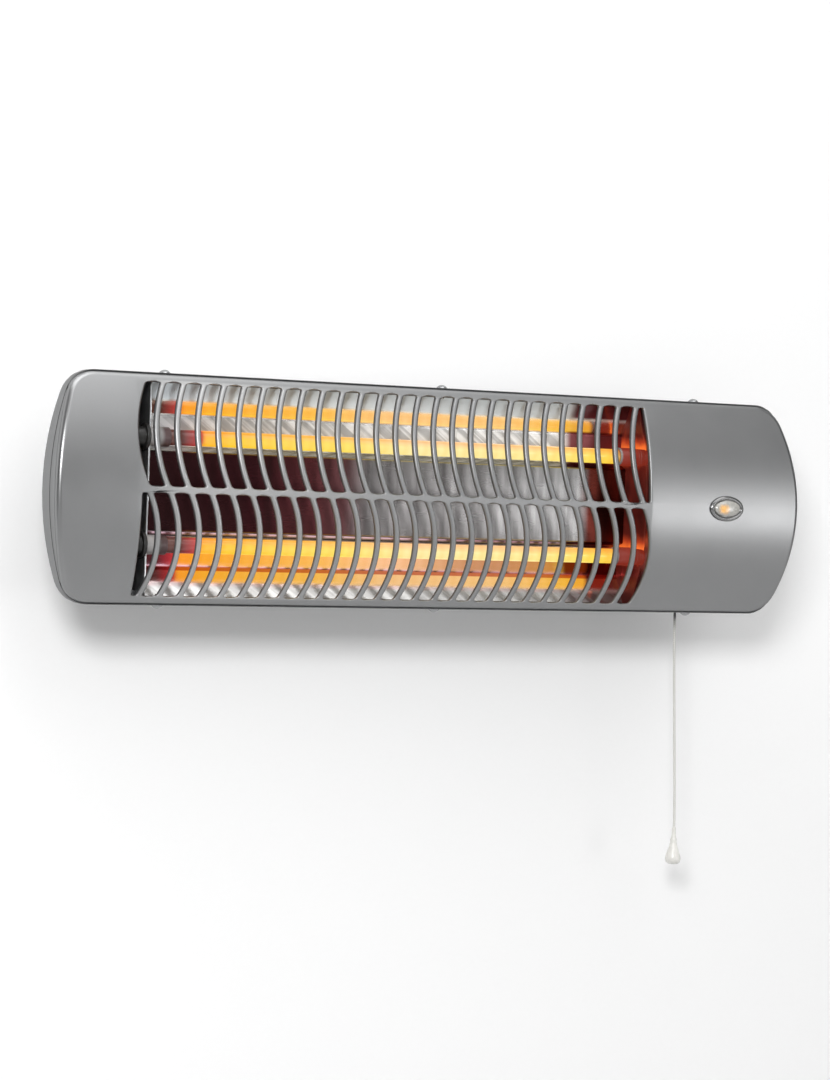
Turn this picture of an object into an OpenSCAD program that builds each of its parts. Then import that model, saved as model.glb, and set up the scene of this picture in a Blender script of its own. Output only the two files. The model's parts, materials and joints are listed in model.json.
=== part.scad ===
/* [Outline] */
// Width of the heater over its bowed ends
body_w = 545; // [520:1:600]
// Height of the heater
body_h = 145.6; // [143:0.2:152]
// Radius that each end bows to
end_bow_r = 190; // [170:5:260]
// Radius of the four corners of the outline
corner_r = 20; // [16:1:26]
// How far the front swells ahead of its top and bottom edges
front_bow = 17; // [13:0.5:20]
// Distance from the wall to the front's top and bottom edges
edge_out = 80; // [79:0.5:86]

/* [Front cover] */
// Wall of the cover
cover_wall = 2; // [1.6:0.1:2.4]
// How far the cover's skirt runs back from the front's edges
skirt_depth = 9.5; // [8.5:0.5:12]
// Step that eases the cover's front rim
rim_step = 0.9; // [0.5:0.1:1.2]
// Width of the two lines pressed round the skirt
skirt_line_w = 0.9; // [0.6:0.1:1.2]
// Depth of those lines
skirt_line_deep = 0.6; // [0.3:0.1:0.8]
// How far the first line lies behind the rim
skirt_line_back = 2.8; // [2.4:0.1:3.4]
// How far the second line lies behind the middle of the rim
skirt_seam_back = 13; // [11:0.5:14]
// How far the second line bows to the front
skirt_seam_bow = 4.6; // [4:0.1:6]

/* [Grille] */
// Openings in each of the two rows
slot_count = 27; // [25:1:28]
// Distance from the heater's left end to the first rib's foot
grille_from_left = 60.3; // [58:0.1:64]
// Distance from the last rib's foot to the heater's right end
grille_from_right = 125.4; // [121:0.1:128]
// Thickness of a rib
rib_w = 3.8; // [3:0.1:4.6]
// Depth of the ribs and of the rim round the openings
rib_deep = 5; // [4:0.5:6]
// Sideways bow of a rib
rib_bow = 8.35; // [6:0.05:9]
// How far a rib's curve runs on past the end of its opening
rib_past = 1.7; // [1:0.1:2]
// Distance from the openings' outer ends to the heater's top and bottom edges
slot_from_edge = 5.9; // [5.3:0.1:7.8]
// Height of the bar between the two rows
bar_h = 4; // [3:0.5:6]
// Distance from the last rib's foot to the straight end of a row
row_end = 4; // [3:0.5:5]
// Width of the thick rim beside the grille
grille_rim = 4; // [3:0.5:6]
// Width of the thick rim above and below the grille
grille_edge = 2; // [1:0.2:2.2]

/* [Rear casing] */
// Wall of the rear casing
casing_wall = 1.4; // [1.2:0.1:1.6]
// Clearance between the cover's skirt and the casing
skirt_gap = 0.2; // [0.1:0.05:0.3]
// How far the casing reaches forward inside the skirt
casing_lap = 7.5; // [6.5:0.5:7.5]
// Depth of the casing's wide step behind the skirt
step_depth = 10.5; // [9:0.5:12]
// Depth of the casing's middle step behind that one
mid_depth = 5.5; // [5:0.5:6]
// How much narrower the middle step is all round than the wide one
mid_narrow = 3.5; // [3:0.1:3.6]
// Depth of the casing's narrow box behind the steps
box_depth = 21.5; // [20:0.5:23]
// Distance from the outline's ends to the casing's box
box_from_end = 30; // [25:0.5:36]
// Distance from the outline's top and bottom edges to the casing's box
box_from_edge = 16.8; // [15:0.1:18.8]
// Corner radius of the casing's box
box_corner_r = 12; // [8:1:16]
// Width of a vent
vent_w = 4; // [3:0.5:5]
// Length of a vent in the back
vent_len = 26; // [20:1:28]
// Distance from vent to vent
vent_pitch = 24; // [20:1:28]
// Number of vents in a row
vent_count = 13; // [9:2:13]
// Distance from the vents' rows to the box's top and bottom
vent_edge = 6; // [5:0.5:8]
// Length of a vent in the top and the bottom
roof_vent_len = 12; // [8:1:14]

/* [Reflector] */
// Distance from the heater's left end to the reflector
reflector_from_left = 68; // [67:0.5:71]
// Distance from the reflector to the heater's right end
reflector_from_right = 121; // [119:0.5:124]
// How far the reflector hangs below the heater's middle
reflector_drop = 1.1; // [0.5:0.1:1.4]
// Thickness of the reflector's sheet
reflector_wall = 0.7; // [0.5:0.1:0.9]
// Distance from the front's edges back to the troughs' floor
trough_back = 25; // [24:0.5:27]
// How far the middle panel stands ahead of the troughs' floor
middle_proud = 7; // [5:0.5:8]
// Height of the middle panel's fold from the reflector's middle
middle_fold_z = 25.6; // [24:0.2:27]
// Height of the fold where a trough's floor begins
floor_fold_z = 28.4; // [27.8:0.2:29]
// Distance from the fold of a trough's outer wing to the heater's edge
wing_fold_from_edge = 23.8; // [23:0.1:25.8]
// Distance from a wing's outer edge to the heater's edge
wing_from_edge = 7.2; // [6.8:0.1:8.8]
// Angle of a wing from upright
wing_angle = 28; // [24:1:30]
// Thickness of the reflector's end plates
end_plate_wall = 1; // [0.8:0.1:1.2]
// Width of the lips that hold the end plates to the back
foot_w = 9; // [8:0.5:11]
// How far the end plates' front edges lie behind the front's edges
end_plate_front = 4; // [3:0.5:6]
// Width of the shield beside the switch
shield_lip_w = 7; // [5:0.5:8]
// Gap between the shield and the cover
shield_gap = 0.9; // [0.7:0.1:1.2]

/* [Heating tubes] */
// Outside diameter of a quartz tube
tube_d = 10; // [9:0.5:10.5]
// Wall of a quartz tube
tube_wall = 1; // [0.8:0.1:1.2]
// Height of the tubes from the reflector's middle
tube_z = 34; // [33.6:0.1:34.6]
// Distance from the front's edges back to the tubes' axes
tube_back = 8; // [7:0.5:10]
// Diameter of a ceramic end cap
cap_d = 12.4; // [12:0.2:13]
// Length of a cap inside its end plate
cap_inside = 13.5; // [12:0.5:15]
// Length of a cap outside its end plate
cap_outside = 13; // [11:0.5:15]
// How deep a tube sits in its cap
cap_socket = 9; // [7:0.5:10]
// Diameter of a cap's collar
cap_collar_d = 17; // [16:0.5:18]
// Thickness of a cap's collar
cap_collar_h = 2.5; // [2:0.5:3]
// Diameter of a terminal stud
stud_d = 3; // [2.6:0.2:3.4]
// How far a stud sticks out of its cap
stud_out = 7; // [6:0.5:8]
// Diameter of the heating coils at the wire's centre
coil_d = 6; // [5.4:0.2:6.2]
// Diameter of the heating wire
coil_wire_d = 0.9; // [0.7:0.1:1]
// Curls in a heating coil
coil_curls = 44; // [36:1:46]
// Straight length at a coil's left end
coil_tail_left = 29; // [24:1:34]
// Straight length at a coil's right end
coil_tail_right = 9; // [7:1:14]

/* [Signal lamp] */
// Distance from the lamp to the heater's right end
lamp_from_end = 60.2; // [56:0.1:64]
// Width of the lamp's bezel
bezel_w = 27; // [24:0.5:29]
// Height of the lamp's bezel
bezel_h = 17.5; // [16:0.5:19]
// Width of the band round the lens
bezel_band = 3.2; // [2.4:0.2:3.6]
// How far the bezel stands out
bezel_proud = 2; // [1:0.2:2.6]
// How far the lens stands out of the bezel
lens_proud = 1.4; // [0.8:0.2:2]
// Depth of the lamp's holder behind the front
lamp_deep = 26; // [22:1:28]
// Wall of the lamp's holder
lamp_wall = 1.2; // [1:0.1:1.4]
// Diameter of the neon lamp
neon_d = 5; // [4:0.5:6]
// Length of the neon lamp
neon_len = 11; // [9:0.5:13]

/* [Pull switch] */
// Distance from the cord to the heater's right end
cord_from_end = 67; // [65:0.5:69]
// Distance from the wall to the cord
cord_out = 47; // [46:0.5:48]
// Travel of the cord
pull_travel = 8; // [6:0.5:8]
// Diameter of the plunger's stem
stem_d = 4; // [3.6:0.2:4.2]
// Diameter of the plunger's collars
collar_d = 9; // [8.5:0.5:10]
// Height of a collar
collar_h = 2; // [1.5:0.5:2.5]
// Height of the groove between the collars
groove_h = 5; // [4.6:0.2:5.4]
// Height of the groove's middle above the casing's bottom
groove_above = 38; // [37:0.5:40]
// Length of the switch lever
lever_len = 20; // [19:0.5:21]
// Thickness of the switch lever
lever_t = 1.6; // [1.4:0.1:1.8]
// Diameter of the switch's pins
pin_d = 3; // [2.6:0.2:3.4]
// Diameter of the ratchet wheel
ratchet_d = 15; // [13:0.5:16]
// Teeth of the ratchet wheel
ratchet_teeth = 8; // [6:1:12]
// Width of the switch's housing
switch_w = 38; // [37:0.5:40]
// Height of the switch's housing
switch_h = 58; // [57:0.5:60]
// Wall of the switch's housing
switch_wall = 1.6; // [1.2:0.1:1.8]
// Coils of the return spring
spring_curls = 5; // [4:1:6]
// Diameter of the return spring's wire
spring_wire_d = 0.8; // [0.6:0.1:0.9]

/* [Pull cord] */
// Diameter of the cord
cord_d = 1.8; // [1.4:0.1:2.2]
// Diameter of the cord's pull
pull_d = 11; // [9:0.5:14]
// Height of the cord's pull
pull_h = 26; // [20:1:32]

/* [Mounting] */
// Thickness of the two steel brackets
bracket_t = 2; // [1.5:0.1:2.5]
// Distance from the heater's ends to the wall bracket's ears
ear_from_end = 133.5; // [128:0.5:140]
// Height of the wall bracket's plate
plate_h = 44; // [36:1:48]
// Distance from the wall to the tilt pivots
pivot_out = 21; // [20.5:0.5:22]
// Radius of the ears round the pivots
ear_r = 8.5; // [7.5:0.5:9]
// Diameter of the pivot screws
pivot_d = 6; // [5:0.5:6.5]
// Height of the tilt bracket's plate
tilt_plate_h = 34; // [28:1:36]
// Distance from the wall bracket's ears to its screws
wall_screw_from_ear = 39; // [30:1:56]
// Width of the slots for the wall screws
wall_slot_w = 5.5; // [4.5:0.5:6.5]
// Length of those slots
wall_slot_len = 12; // [9:1:14]

/* [Screws and clearances] */
// Diameter of the domed heads of the cover's screws
dome_d = 7.6; // [7:0.2:8.4]
// Height of those heads
dome_h = 2.2; // [1.8:0.1:2.6]
// Diameter of the small screws
screw_d = 3; // [2.6:0.2:3.2]
// Length of the small screws
screw_len = 7; // [6:0.5:8]
// Distance from the cover's outer screws to the heater's ends
dome_from_end = 76.5; // [72:0.5:82]
// How far the cover's screws lie behind the front's edges
dome_back = 5.2; // [5:0.1:5.6]
// Running clearance round pins and shafts
run_gap = 0.05; // [0.02:0.01:0.08]
// Clearance between pieces that don't touch
air_gap = 0.3; // [0.2:0.05:0.4]

/* [Hidden] */

// Overrun of every cut past the wall that it goes through
over = 1;

// Depths of the main planes, measured from the wall towards the room along -Y
edge_y = -edge_out;
apex_y = edge_y - front_bow;
rim_y = edge_y + skirt_depth;
step_y = rim_y + step_depth;
mid_y = step_y + mid_depth;
back_y = mid_y + box_depth;
inner_back_y = back_y - casing_wall;
half_w = body_w / 2;
half_h = body_h / 2;

// The front is part of a round drum whose axis runs along X
function bow_radius(half_chord, bow) = (half_chord * half_chord + bow * bow) / (2 * bow);
front_r = bow_radius(half_h, front_bow);
front_axis_y = apex_y + front_r;
function front_y(z, inset) = front_axis_y - sqrt(pow(front_r - inset, 2) - z * z);

// Centres of the end bows and of the corner arcs
bow_x = half_w - end_bow_r;
corner_z = half_h - corner_r;
corner_x = bow_x + sqrt(pow(end_bow_r - corner_r, 2) - corner_z * corner_z);
corner_turn = atan2(corner_z, corner_x - bow_x);

// Insets of the casing's stages from the outline
lap_inset = cover_wall + skirt_gap;
step_inset = lap_inset + casing_wall;
step_inner = step_inset + casing_wall;
mid_inset = step_inset + mid_narrow;
mid_inner = mid_inset + casing_wall;

// Places of the grille's rib lines, which mirror about the grille's middle by a half turn
slot_top = half_h - slot_from_edge;
rib_span = slot_top + rib_past;
slot_pitch = (body_w - grille_from_left - grille_from_right) / (slot_count - 1);
grille_x = (grille_from_left - grille_from_right) / 2;
rib_arc_r = bow_radius(rib_span / 2, rib_bow);
function rib_x(i) = grille_x + (i - (slot_count - 1) / 2) * slot_pitch;
grille_half_w = (slot_count - 1) / 2 * slot_pitch + row_end;
rim_half_w = grille_half_w - row_end + rib_bow + grille_rim;

// Reflector planes and the tubes' axes
trough_y = edge_y + trough_back;
middle_y = trough_y - middle_proud;
wing_fold_z = half_h - wing_fold_from_edge;
wing_edge_z = half_h - wing_from_edge;
wing_edge_y = trough_y - (wing_edge_z - wing_fold_z) * tan(wing_angle);
reflector_left = reflector_from_left - half_w;
reflector_right = half_w - reflector_from_right;
reflector_x = (reflector_left + reflector_right) / 2;
reflector_w = reflector_right - reflector_left;
tube_y = edge_y + tube_back;
tube_r = tube_d / 2;
tube_bore_r = tube_r - tube_wall;
cap_r = cap_d / 2;
stud_r = stud_d / 2;
function tube_height(side) = side * tube_z - reflector_drop;
// A tube ends in the sockets of its two caps, and the coil on the studs' inner ends
cap_mouth_left = reflector_left + cap_inside;
cap_mouth_right = reflector_right - cap_inside;
socket_left = cap_mouth_left - cap_socket;
socket_right = cap_mouth_right + cap_socket;
cap_end_left = reflector_left - end_plate_wall - cap_outside;
cap_end_right = reflector_right + end_plate_wall + cap_outside;
plate_front_y = edge_y + end_plate_front;

// Height limits of the end plates in the casing's wide step and in its box
plate_half_h = half_h - step_inner - air_gap;
plate_mid_half_h = half_h - mid_inner - air_gap;
box_w = body_w - 2 * box_from_end;
box_h = body_h - 2 * box_from_edge;
box_half_h = box_h / 2;
box_inner_half_h = box_half_h - casing_wall;
box_half_w = box_w / 2;
plate_box_half_h = box_inner_half_h - air_gap;
vent_z = box_half_h - vent_edge - vent_len / 2;

// Switch: the plunger's axis and what hangs on it
cord_x = half_w - cord_from_end;
cord_y = -cord_out;
groove_z = groove_above - box_half_h;
stem_r = stem_d / 2;
collar_r = collar_d / 2;
pin_r = pin_d / 2;
pull_share = asin(pull_travel / 2 / lever_len);
lever_pivot_x = cord_x - lever_len * cos(pull_share);
lever_pivot_z = groove_z - pull_travel / 2;
lever_front_y = cord_y - collar_r + run_gap;
lever_back_y = lever_front_y + lever_t;
lever_boss_r = pin_r + 1.9 * pin_d / 3;
lever_tip_r = groove_h / 2 - air_gap;
lever_bar_h = pin_d * 0.7;
ratchet_x = lever_pivot_x + pin_d;
ratchet_z = groove_z + ratchet_d + pin_d * 1.5;
ratchet_h = lever_t * 3;
switch_bottom_z = -box_inner_half_h + box_corner_r * 0.7;
switch_top_z = switch_bottom_z + switch_h;
switch_left_x = cord_x + collar_r + switch_wall * 2 - switch_w;
switch_front_y = cord_y - collar_r - switch_wall - lever_t;
guide_h = switch_wall * 5;
guide_top_z = switch_bottom_z + guide_h;
guide_r = stem_r + switch_wall * 1.8;
collar_low_z = groove_z - groove_h / 2 - collar_h;
collar_high_z = groove_z + groove_h / 2 + collar_h;
spring_r = stem_r + spring_wire_d * 1.4;

// Cord's end of the plunger
bush_r = stem_r * 2;
bush_flange_r = stem_r * 3;
bush_flange_h = casing_wall * 1.4;
fork_top_z = -box_half_h - bush_flange_h - air_gap;
fork_h = stem_d * 1.5;
fork_w = stem_d * 1.25;
fork_slot_w = fork_w * 0.44;
eye_z = fork_top_z - fork_h * 0.62;
eye_pin_r = stem_r * 0.4;
eye_r = stem_r * 0.8;
eye_drop = stem_r * 1.8;
ferrule_h = stem_d * 1.1;
cord_top_z = eye_z - eye_drop - ferrule_h;

// Hand-drawn fall of the cord: how far it strays sideways at each distance below its ferrule
cord_fall = [[0, 0], [0, 5], [0.5, 26], [1.5, 50], [3, 80], [4.5, 110], [5.5, 130], [6, 144], [6.2, 152],
    [6.2, 156]];
cord_route = [for (q = cord_fall) [cord_x + q[0], cord_y, cord_top_z - q[1]]];
cord_ring_step = cord_d * 2.6;
cord_sides = 8;
cord_r = cord_d / 2;

// Places of the brackets and of their screws
ear_x = half_w - ear_from_end;
wall_screw_x = ear_x - wall_screw_from_ear;
tilt_ear_x = ear_x - air_gap;
pivot_y = -pivot_out;
pivot_r = pivot_d / 2;
tilt_plate_y = back_y + bracket_t;
screw_r = screw_d / 2;
dome_ball_r = bow_radius(dome_d / 2, dome_h);
head_r = screw_d * 0.95;
head_h = screw_d * 0.7;
dome_y = edge_y + dome_back;
dome_span = half_w - dome_from_end;
tilt_screw_x = ear_x * 0.78;
tilt_screw_z = tilt_plate_h * 0.3;
foot_screw_z = plate_box_half_h * 0.7;

// Places and sizes of the electrical parts beside the switch
shield_x = reflector_right + end_plate_wall + shield_lip_w;
block_w = 24;
block_h = 16;
block_deep = 11;
block_shift = 4;
block_above = 1.5;
block_x = cord_x - block_shift;
block_z = switch_top_z + block_h / 2 + block_above;
grommet_bore_r = 3.75;
grommet_lip = 2;
grommet_r = grommet_bore_r + grommet_lip;
grommet_flange_r = grommet_r + grommet_lip;
grommet_from_end = 11;
grommet_x = box_half_w - grommet_from_end;
grommet_z = 18;
earth_from_shield = 9;
earth_x = shield_x + earth_from_shield;
earth_z = -30;
cutout_r = 8;
cutout_h = 5.5;
lead_r = 1.1;
lead_ring_step = 3.5;
lead_bend = 3;

big_fn = 180;
mid_fn = 48;
small_fn = 32;

// Helpers

module along_y(y0, y1) {
    translate([0, y1, 0]) rotate([90, 0, 0]) linear_extrude(height = y1 - y0) children();
}

module rod_x(x0, x1, y, z, r, fn = small_fn) {
    translate([x0, y, z]) rotate([0, 90, 0]) cylinder(r = r, h = x1 - x0, $fn = fn);
}

module rod_y(x, y0, y1, z, r, fn = small_fn) {
    translate([x, y1, z]) rotate([90, 0, 0]) cylinder(r = r, h = y1 - y0, $fn = fn);
}

module rod_z(x, y, z0, z1, r, fn = small_fn) {
    translate([x, y, z0]) cylinder(r = r, h = z1 - z0, $fn = fn);
}

module block(low, high) {
    translate(low) cube(high - low);
}

// The outline seen from the front: bowed ends, round corners, straight top and bottom
module outline(inset) {
    bow_r = end_bow_r - inset;
    arc_r = corner_r - inset;
    square([2 * corner_x, 2 * (half_h - inset)], center = true);
    for (side = [-1, 1]) scale([side, 1]) {
        intersection() {
            translate([bow_x, 0]) circle(r = bow_r, $fn = big_fn);
            polygon([[bow_x, 0], [bow_x + 2 * bow_r * cos(corner_turn), 2 * bow_r * sin(corner_turn)],
                [bow_x + 2 * bow_r * cos(corner_turn), -2 * bow_r * sin(corner_turn)]]);
        }
        for (up = [-1, 1]) translate([corner_x, up * corner_z]) circle(r = arc_r, $fn = mid_fn * 2);
    }
}

module drum(inset) {
    rod_x(-half_w - over, half_w + over, front_axis_y, 0, front_r - inset, big_fn);
}

module round_box(w, h, r) {
    square([w - 2 * r, h], center = true);
    square([w, h - 2 * r], center = true);
    for (sx = [-1, 1], sz = [-1, 1])
        translate([sx * (w / 2 - r), sz * (h / 2 - r)]) circle(r = r, $fn = mid_fn);
}

function oval(w, h, n = 40) = [for (i = [0:n - 1]) [w / 2 * cos(360 * i / n), h / 2 * sin(360 * i / n)]];

// Sweep of a round section along points, each with a direction that is never along the path
function unit(v) = v / norm(v);
function tangent(p, i) = unit(p[min(i + 1, len(p) - 1)] - p[max(i - 1, 0)]);
function ring(c, t, n, r, sides) = let (u = unit(n - (n * t) * t), v = cross(t, u))
    [for (k = [0:sides - 1]) c + r * (cos(360 * k / sides) * u + sin(360 * k / sides) * v)];
function sweep_points(p, n, r, sides) =
    [for (i = [0:len(p) - 1]) each ring(p[i], tangent(p, i), n[i], r, sides)];
function sweep_faces(count, sides) = concat(
    [for (k = [1:sides - 2]) [0, k, k + 1]],
    [for (i = [0:count - 2], k = [0:sides - 1]) each let (a = i * sides + k,
        b = i * sides + (k + 1) % sides) [[a, a + sides, b], [b, a + sides, b + sides]]],
    [for (k = [1:sides - 2]) let (e = (count - 1) * sides) [e, e + k + 1, e + k]]);

module sweep(p, n, r, sides) {
    polyhedron(sweep_points(p, n, r, sides), sweep_faces(len(p), sides));
}

// Points at even steps along a hand-drawn route, eased at its corners
function spline(a, b, c, d, t) = 0.5 * (2 * b + (c - a) * t + (2 * a - 5 * b + 4 * c - d) * t * t
    + (3 * b - a - 3 * c + d) * t * t * t);
function eased(route, step) = [for (i = [0:len(route) - 2]) let (
        a = route[max(i - 1, 0)], b = route[i], c = route[i + 1], d = route[min(i + 2, len(route) - 1)],
        n = max(1, round(norm(c - b) / step)))
    each [for (k = [0:n - (i == len(route) - 2 ? 0 : 1)]) spline(a, b, c, d, k / n)]];

// Front cover with its grille

module slot_row() {
    for (i = [0:slot_count - 1]) intersection() {
        difference() {
            translate([rib_x(i) + rib_arc_r - rib_bow, rib_span / 2])
                circle(r = rib_arc_r - rib_w / 2, $fn = big_fn);
            if (i < slot_count - 1)
                translate([rib_x(i + 1) + rib_arc_r - rib_bow, rib_span / 2])
                    circle(r = rib_arc_r + rib_w / 2, $fn = big_fn);
        }
        translate([grille_x - grille_half_w - rib_bow, bar_h / 2])
            square([2 * grille_half_w + rib_bow, slot_top - bar_h / 2]);
    }
}

module skirt_line(inset, radius, axis_y) {
    difference() {
        rod_x(-half_w - over, half_w + over, axis_y, 0, radius - inset, big_fn);
        rod_x(-half_w - 2 * over, half_w + 2 * over, axis_y, 0, radius - inset - skirt_line_w, big_fn);
        along_y(apex_y - over, rim_y + over) outline(skirt_line_deep);
    }
}

seam_r = bow_radius(half_h, skirt_seam_bow);
seam_axis_y = apex_y + skirt_seam_back + seam_r;

module cover_form() {
    intersection() {
        along_y(apex_y - over, rim_y) outline(0);
        drum(rim_step);
    }
    intersection() {
        along_y(apex_y - over, rim_y - over) outline(rim_step / 3);
        drum(rim_step / 3);
    }
    intersection() {
        along_y(apex_y - over, rim_y - over) outline(rim_step);
        drum(0);
    }
}

module front_cover() color([0.62, 0.63, 0.64]) difference() {
    union() {
        difference() {
            cover_form();
            intersection() {
                along_y(apex_y - over, rim_y + over) outline(cover_wall);
                drum(cover_wall);
            }
            skirt_line(skirt_line_back, front_r, front_axis_y);
            skirt_line(0, seam_r, seam_axis_y);
        }
        intersection() {
            block([grille_x - rim_half_w, apex_y - over, -slot_top - grille_edge],
                [grille_x + rim_half_w, rim_y, slot_top + grille_edge]);
            difference() {
                drum(cover_wall / 2);
                drum(rib_deep);
            }
        }
    }
    along_y(apex_y - over, rim_y) {
        slot_row();
        translate([2 * grille_x, 0]) rotate(180) slot_row();
    }
    oval_y(apex_y - over, edge_y, bezel_hole_w, bezel_hole_h);
    dome_places() rod_z(0, 0, -screw_len - over, over, screw_r + run_gap);
}

// Each place of a cover screw, with +Z out of the heater
module dome_places() {
    for (x = [-dome_span, 0, dome_span], up = [0, 1]) mirror([0, 0, up])
        translate([x, dome_y, half_h]) children();
}

module cover_screws() color([0.8, 0.8, 0.82]) dome_places() {
    rod_z(0, 0, -screw_len, 0, screw_r);
    intersection() {
        translate([0, 0, dome_h - dome_ball_r]) sphere(r = dome_ball_r, $fn = mid_fn);
        cylinder(r = dome_d / 2, h = dome_h, $fn = small_fn);
    }
}

// Rear casing, a stepped tub that the cover's skirt laps over

module ring_y(y0, y1, outer, inner) {
    along_y(y0, y1) difference() {
        outline(outer);
        outline(inner);
    }
}

module rear_casing() color([0.55, 0.56, 0.57]) difference() {
    union() {
        ring_y(rim_y - casing_lap, rim_y, lap_inset, step_inset);
        ring_y(rim_y - casing_wall, rim_y, lap_inset, step_inner);
        ring_y(rim_y - casing_wall, step_y, step_inset, step_inner);
        ring_y(step_y - casing_wall, step_y, step_inset, mid_inner);
        ring_y(step_y - casing_wall, mid_y, mid_inset, mid_inner);
        along_y(mid_y - casing_wall, mid_y) difference() {
            outline(mid_inset);
            round_box(box_w - 2 * casing_wall, box_h - 2 * casing_wall, box_corner_r - casing_wall);
        }
        along_y(mid_y - casing_wall, back_y) difference() {
            round_box(box_w, box_h, box_corner_r);
            round_box(box_w - 2 * casing_wall, box_h - 2 * casing_wall, box_corner_r - casing_wall);
        }
        along_y(inner_back_y, back_y) round_box(box_w, box_h, box_corner_r);
    }
    dome_places() rod_z(0, 0, -screw_len - over, 0, screw_r + run_gap);
    rod_z(cord_x, cord_y, -box_half_h - over, -box_inner_half_h + over, bush_r + run_gap);
    rod_y(grommet_x, inner_back_y - over, back_y + over, grommet_z, grommet_r);
    back_screw_places() rod_y(0, inner_back_y - over, back_y + over, 0, screw_r + run_gap);
    vents();
}

// Every place where a small screw goes through the casing's back
module back_screw_places() {
    foot_screw_places() children();
    tilt_screw_places() children();
    switch_screw_places() children();
    translate([earth_x, 0, earth_z]) children();
}

module foot_screw_places() {
    for (x = [reflector_left + foot_w / 2, reflector_right - foot_w / 2], up = [-1, 1])
        translate([x, 0, up * foot_screw_z]) children();
}

module tilt_screw_places() {
    for (sx = [-1, 1], up = [-1, 1]) translate([sx * tilt_screw_x, 0, up * tilt_screw_z]) children();
}

module switch_screw_places() {
    edge = switch_wall * 4;
    translate([switch_left_x + edge, 0, switch_top_z - edge]) children();
    translate([switch_left_x + switch_w - edge, 0, switch_bottom_z + edge]) children();
}

module vents() {
    roof_y = (mid_y + back_y) / 2;
    for (i = [0:vent_count - 1]) let (x = reflector_x + (i - (vent_count - 1) / 2) * vent_pitch) {
        for (up = [-1, 1]) {
            translate([0, 0, up * vent_z])
                block([x - vent_w / 2, inner_back_y - over, -vent_len / 2],
                    [x + vent_w / 2, back_y + over, vent_len / 2]);
            translate([0, 0, up * (box_half_h - casing_wall / 2)])
                block([x - vent_w / 2, roof_y - roof_vent_len / 2, -casing_wall],
                    [x + vent_w / 2, roof_y + roof_vent_len / 2, casing_wall]);
        }
    }
}

// Reflector and the plates that carry it

function wing_shift(back) = back / cos(wing_angle);
function reflector_section(back) = [[middle_y + back, 0], [middle_y + back, middle_fold_z],
    [trough_y + back, floor_fold_z], [trough_y + back, wing_fold_z],
    [wing_edge_y + wing_shift(back), wing_edge_z]];
function mirrored(p) = [for (q = p) [q[0], -q[1]]];
function backwards(p) = [for (i = [len(p) - 1:-1:0]) p[i]];

module reflector() color([0.86, 0.86, 0.87]) translate([reflector_left, 0, -reflector_drop])
    multmatrix([[0, 0, 1, 0], [1, 0, 0, 0], [0, 1, 0, 0]]) linear_extrude(height = reflector_w)
        for (flip = [0, 1]) polygon(flip == 0
            ? concat(reflector_section(0), backwards(reflector_section(reflector_wall)))
            : mirrored(concat(reflector_section(0), backwards(reflector_section(reflector_wall)))));

// A plate across the casing, as high as each of its stages allows
module cross_plate(x, front) {
    block([x, front, -plate_half_h], [x + end_plate_wall, step_y - casing_wall - air_gap, plate_half_h]);
    block([x, front, -plate_mid_half_h],
        [x + end_plate_wall, mid_y - casing_wall - air_gap, plate_mid_half_h]);
    block([x, front, -plate_box_half_h], [x + end_plate_wall, inner_back_y, plate_box_half_h]);
}

module foot(x0, x1) {
    block([x0, inner_back_y - end_plate_wall, -plate_box_half_h], [x1, inner_back_y, plate_box_half_h]);
}

module end_plate(x, foot_x0, foot_x1) color([0.8, 0.8, 0.82]) difference() {
    union() {
        cross_plate(x, plate_front_y);
        foot(foot_x0, foot_x1);
    }
    cap_holes(x, run_gap);
    foot_screw_places() rod_y(0, inner_back_y - foot_w, back_y, 0, screw_r + run_gap);
}

module cap_holes(x, gap) {
    for (side = [-1, 1])
        rod_x(x - over, x + end_plate_wall + over, tube_y, tube_height(side), cap_r + gap, mid_fn);
}

module reflector_end_left() end_plate(reflector_left - end_plate_wall, reflector_left - end_plate_wall,
    reflector_left + foot_w);

module reflector_end_right() end_plate(reflector_right, reflector_right - foot_w,
    reflector_right + end_plate_wall);

// Steel shield between the hot part and the switch, shaped to the cover's inside
module heat_shield() color([0.7, 0.7, 0.72]) difference() {
    union() {
        intersection() {
            cross_plate(shield_x, apex_y);
            drum(cover_wall + shield_gap);
        }
        foot(shield_x - shield_lip_w, shield_x + end_plate_wall);
    }
    cap_holes(shield_x, air_gap);
}

module pan_screw_y(y_seat, front_side) {
    if (front_side) {
        rod_y(0, y_seat - head_h, y_seat, 0, head_r);
        rod_y(0, y_seat, y_seat + screw_len, 0, screw_r);
    } else {
        rod_y(0, y_seat, y_seat + head_h, 0, head_r);
        rod_y(0, y_seat - screw_len, y_seat, 0, screw_r);
    }
}

module reflector_screws() color([0.8, 0.8, 0.82]) foot_screw_places()
    pan_screw_y(inner_back_y - end_plate_wall, true);

// Quartz tubes, their wire coils and their ceramic caps

module quartz_tube(side) color([1, 0.75, 0.4]) difference() {
    rod_x(socket_left, socket_right, tube_y, tube_height(side), tube_r, mid_fn);
    rod_x(socket_left - over, socket_right + over, tube_y, tube_height(side), tube_bore_r, mid_fn);
}

module quartz_tube_upper() quartz_tube(1);

module quartz_tube_lower() quartz_tube(-1);

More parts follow.
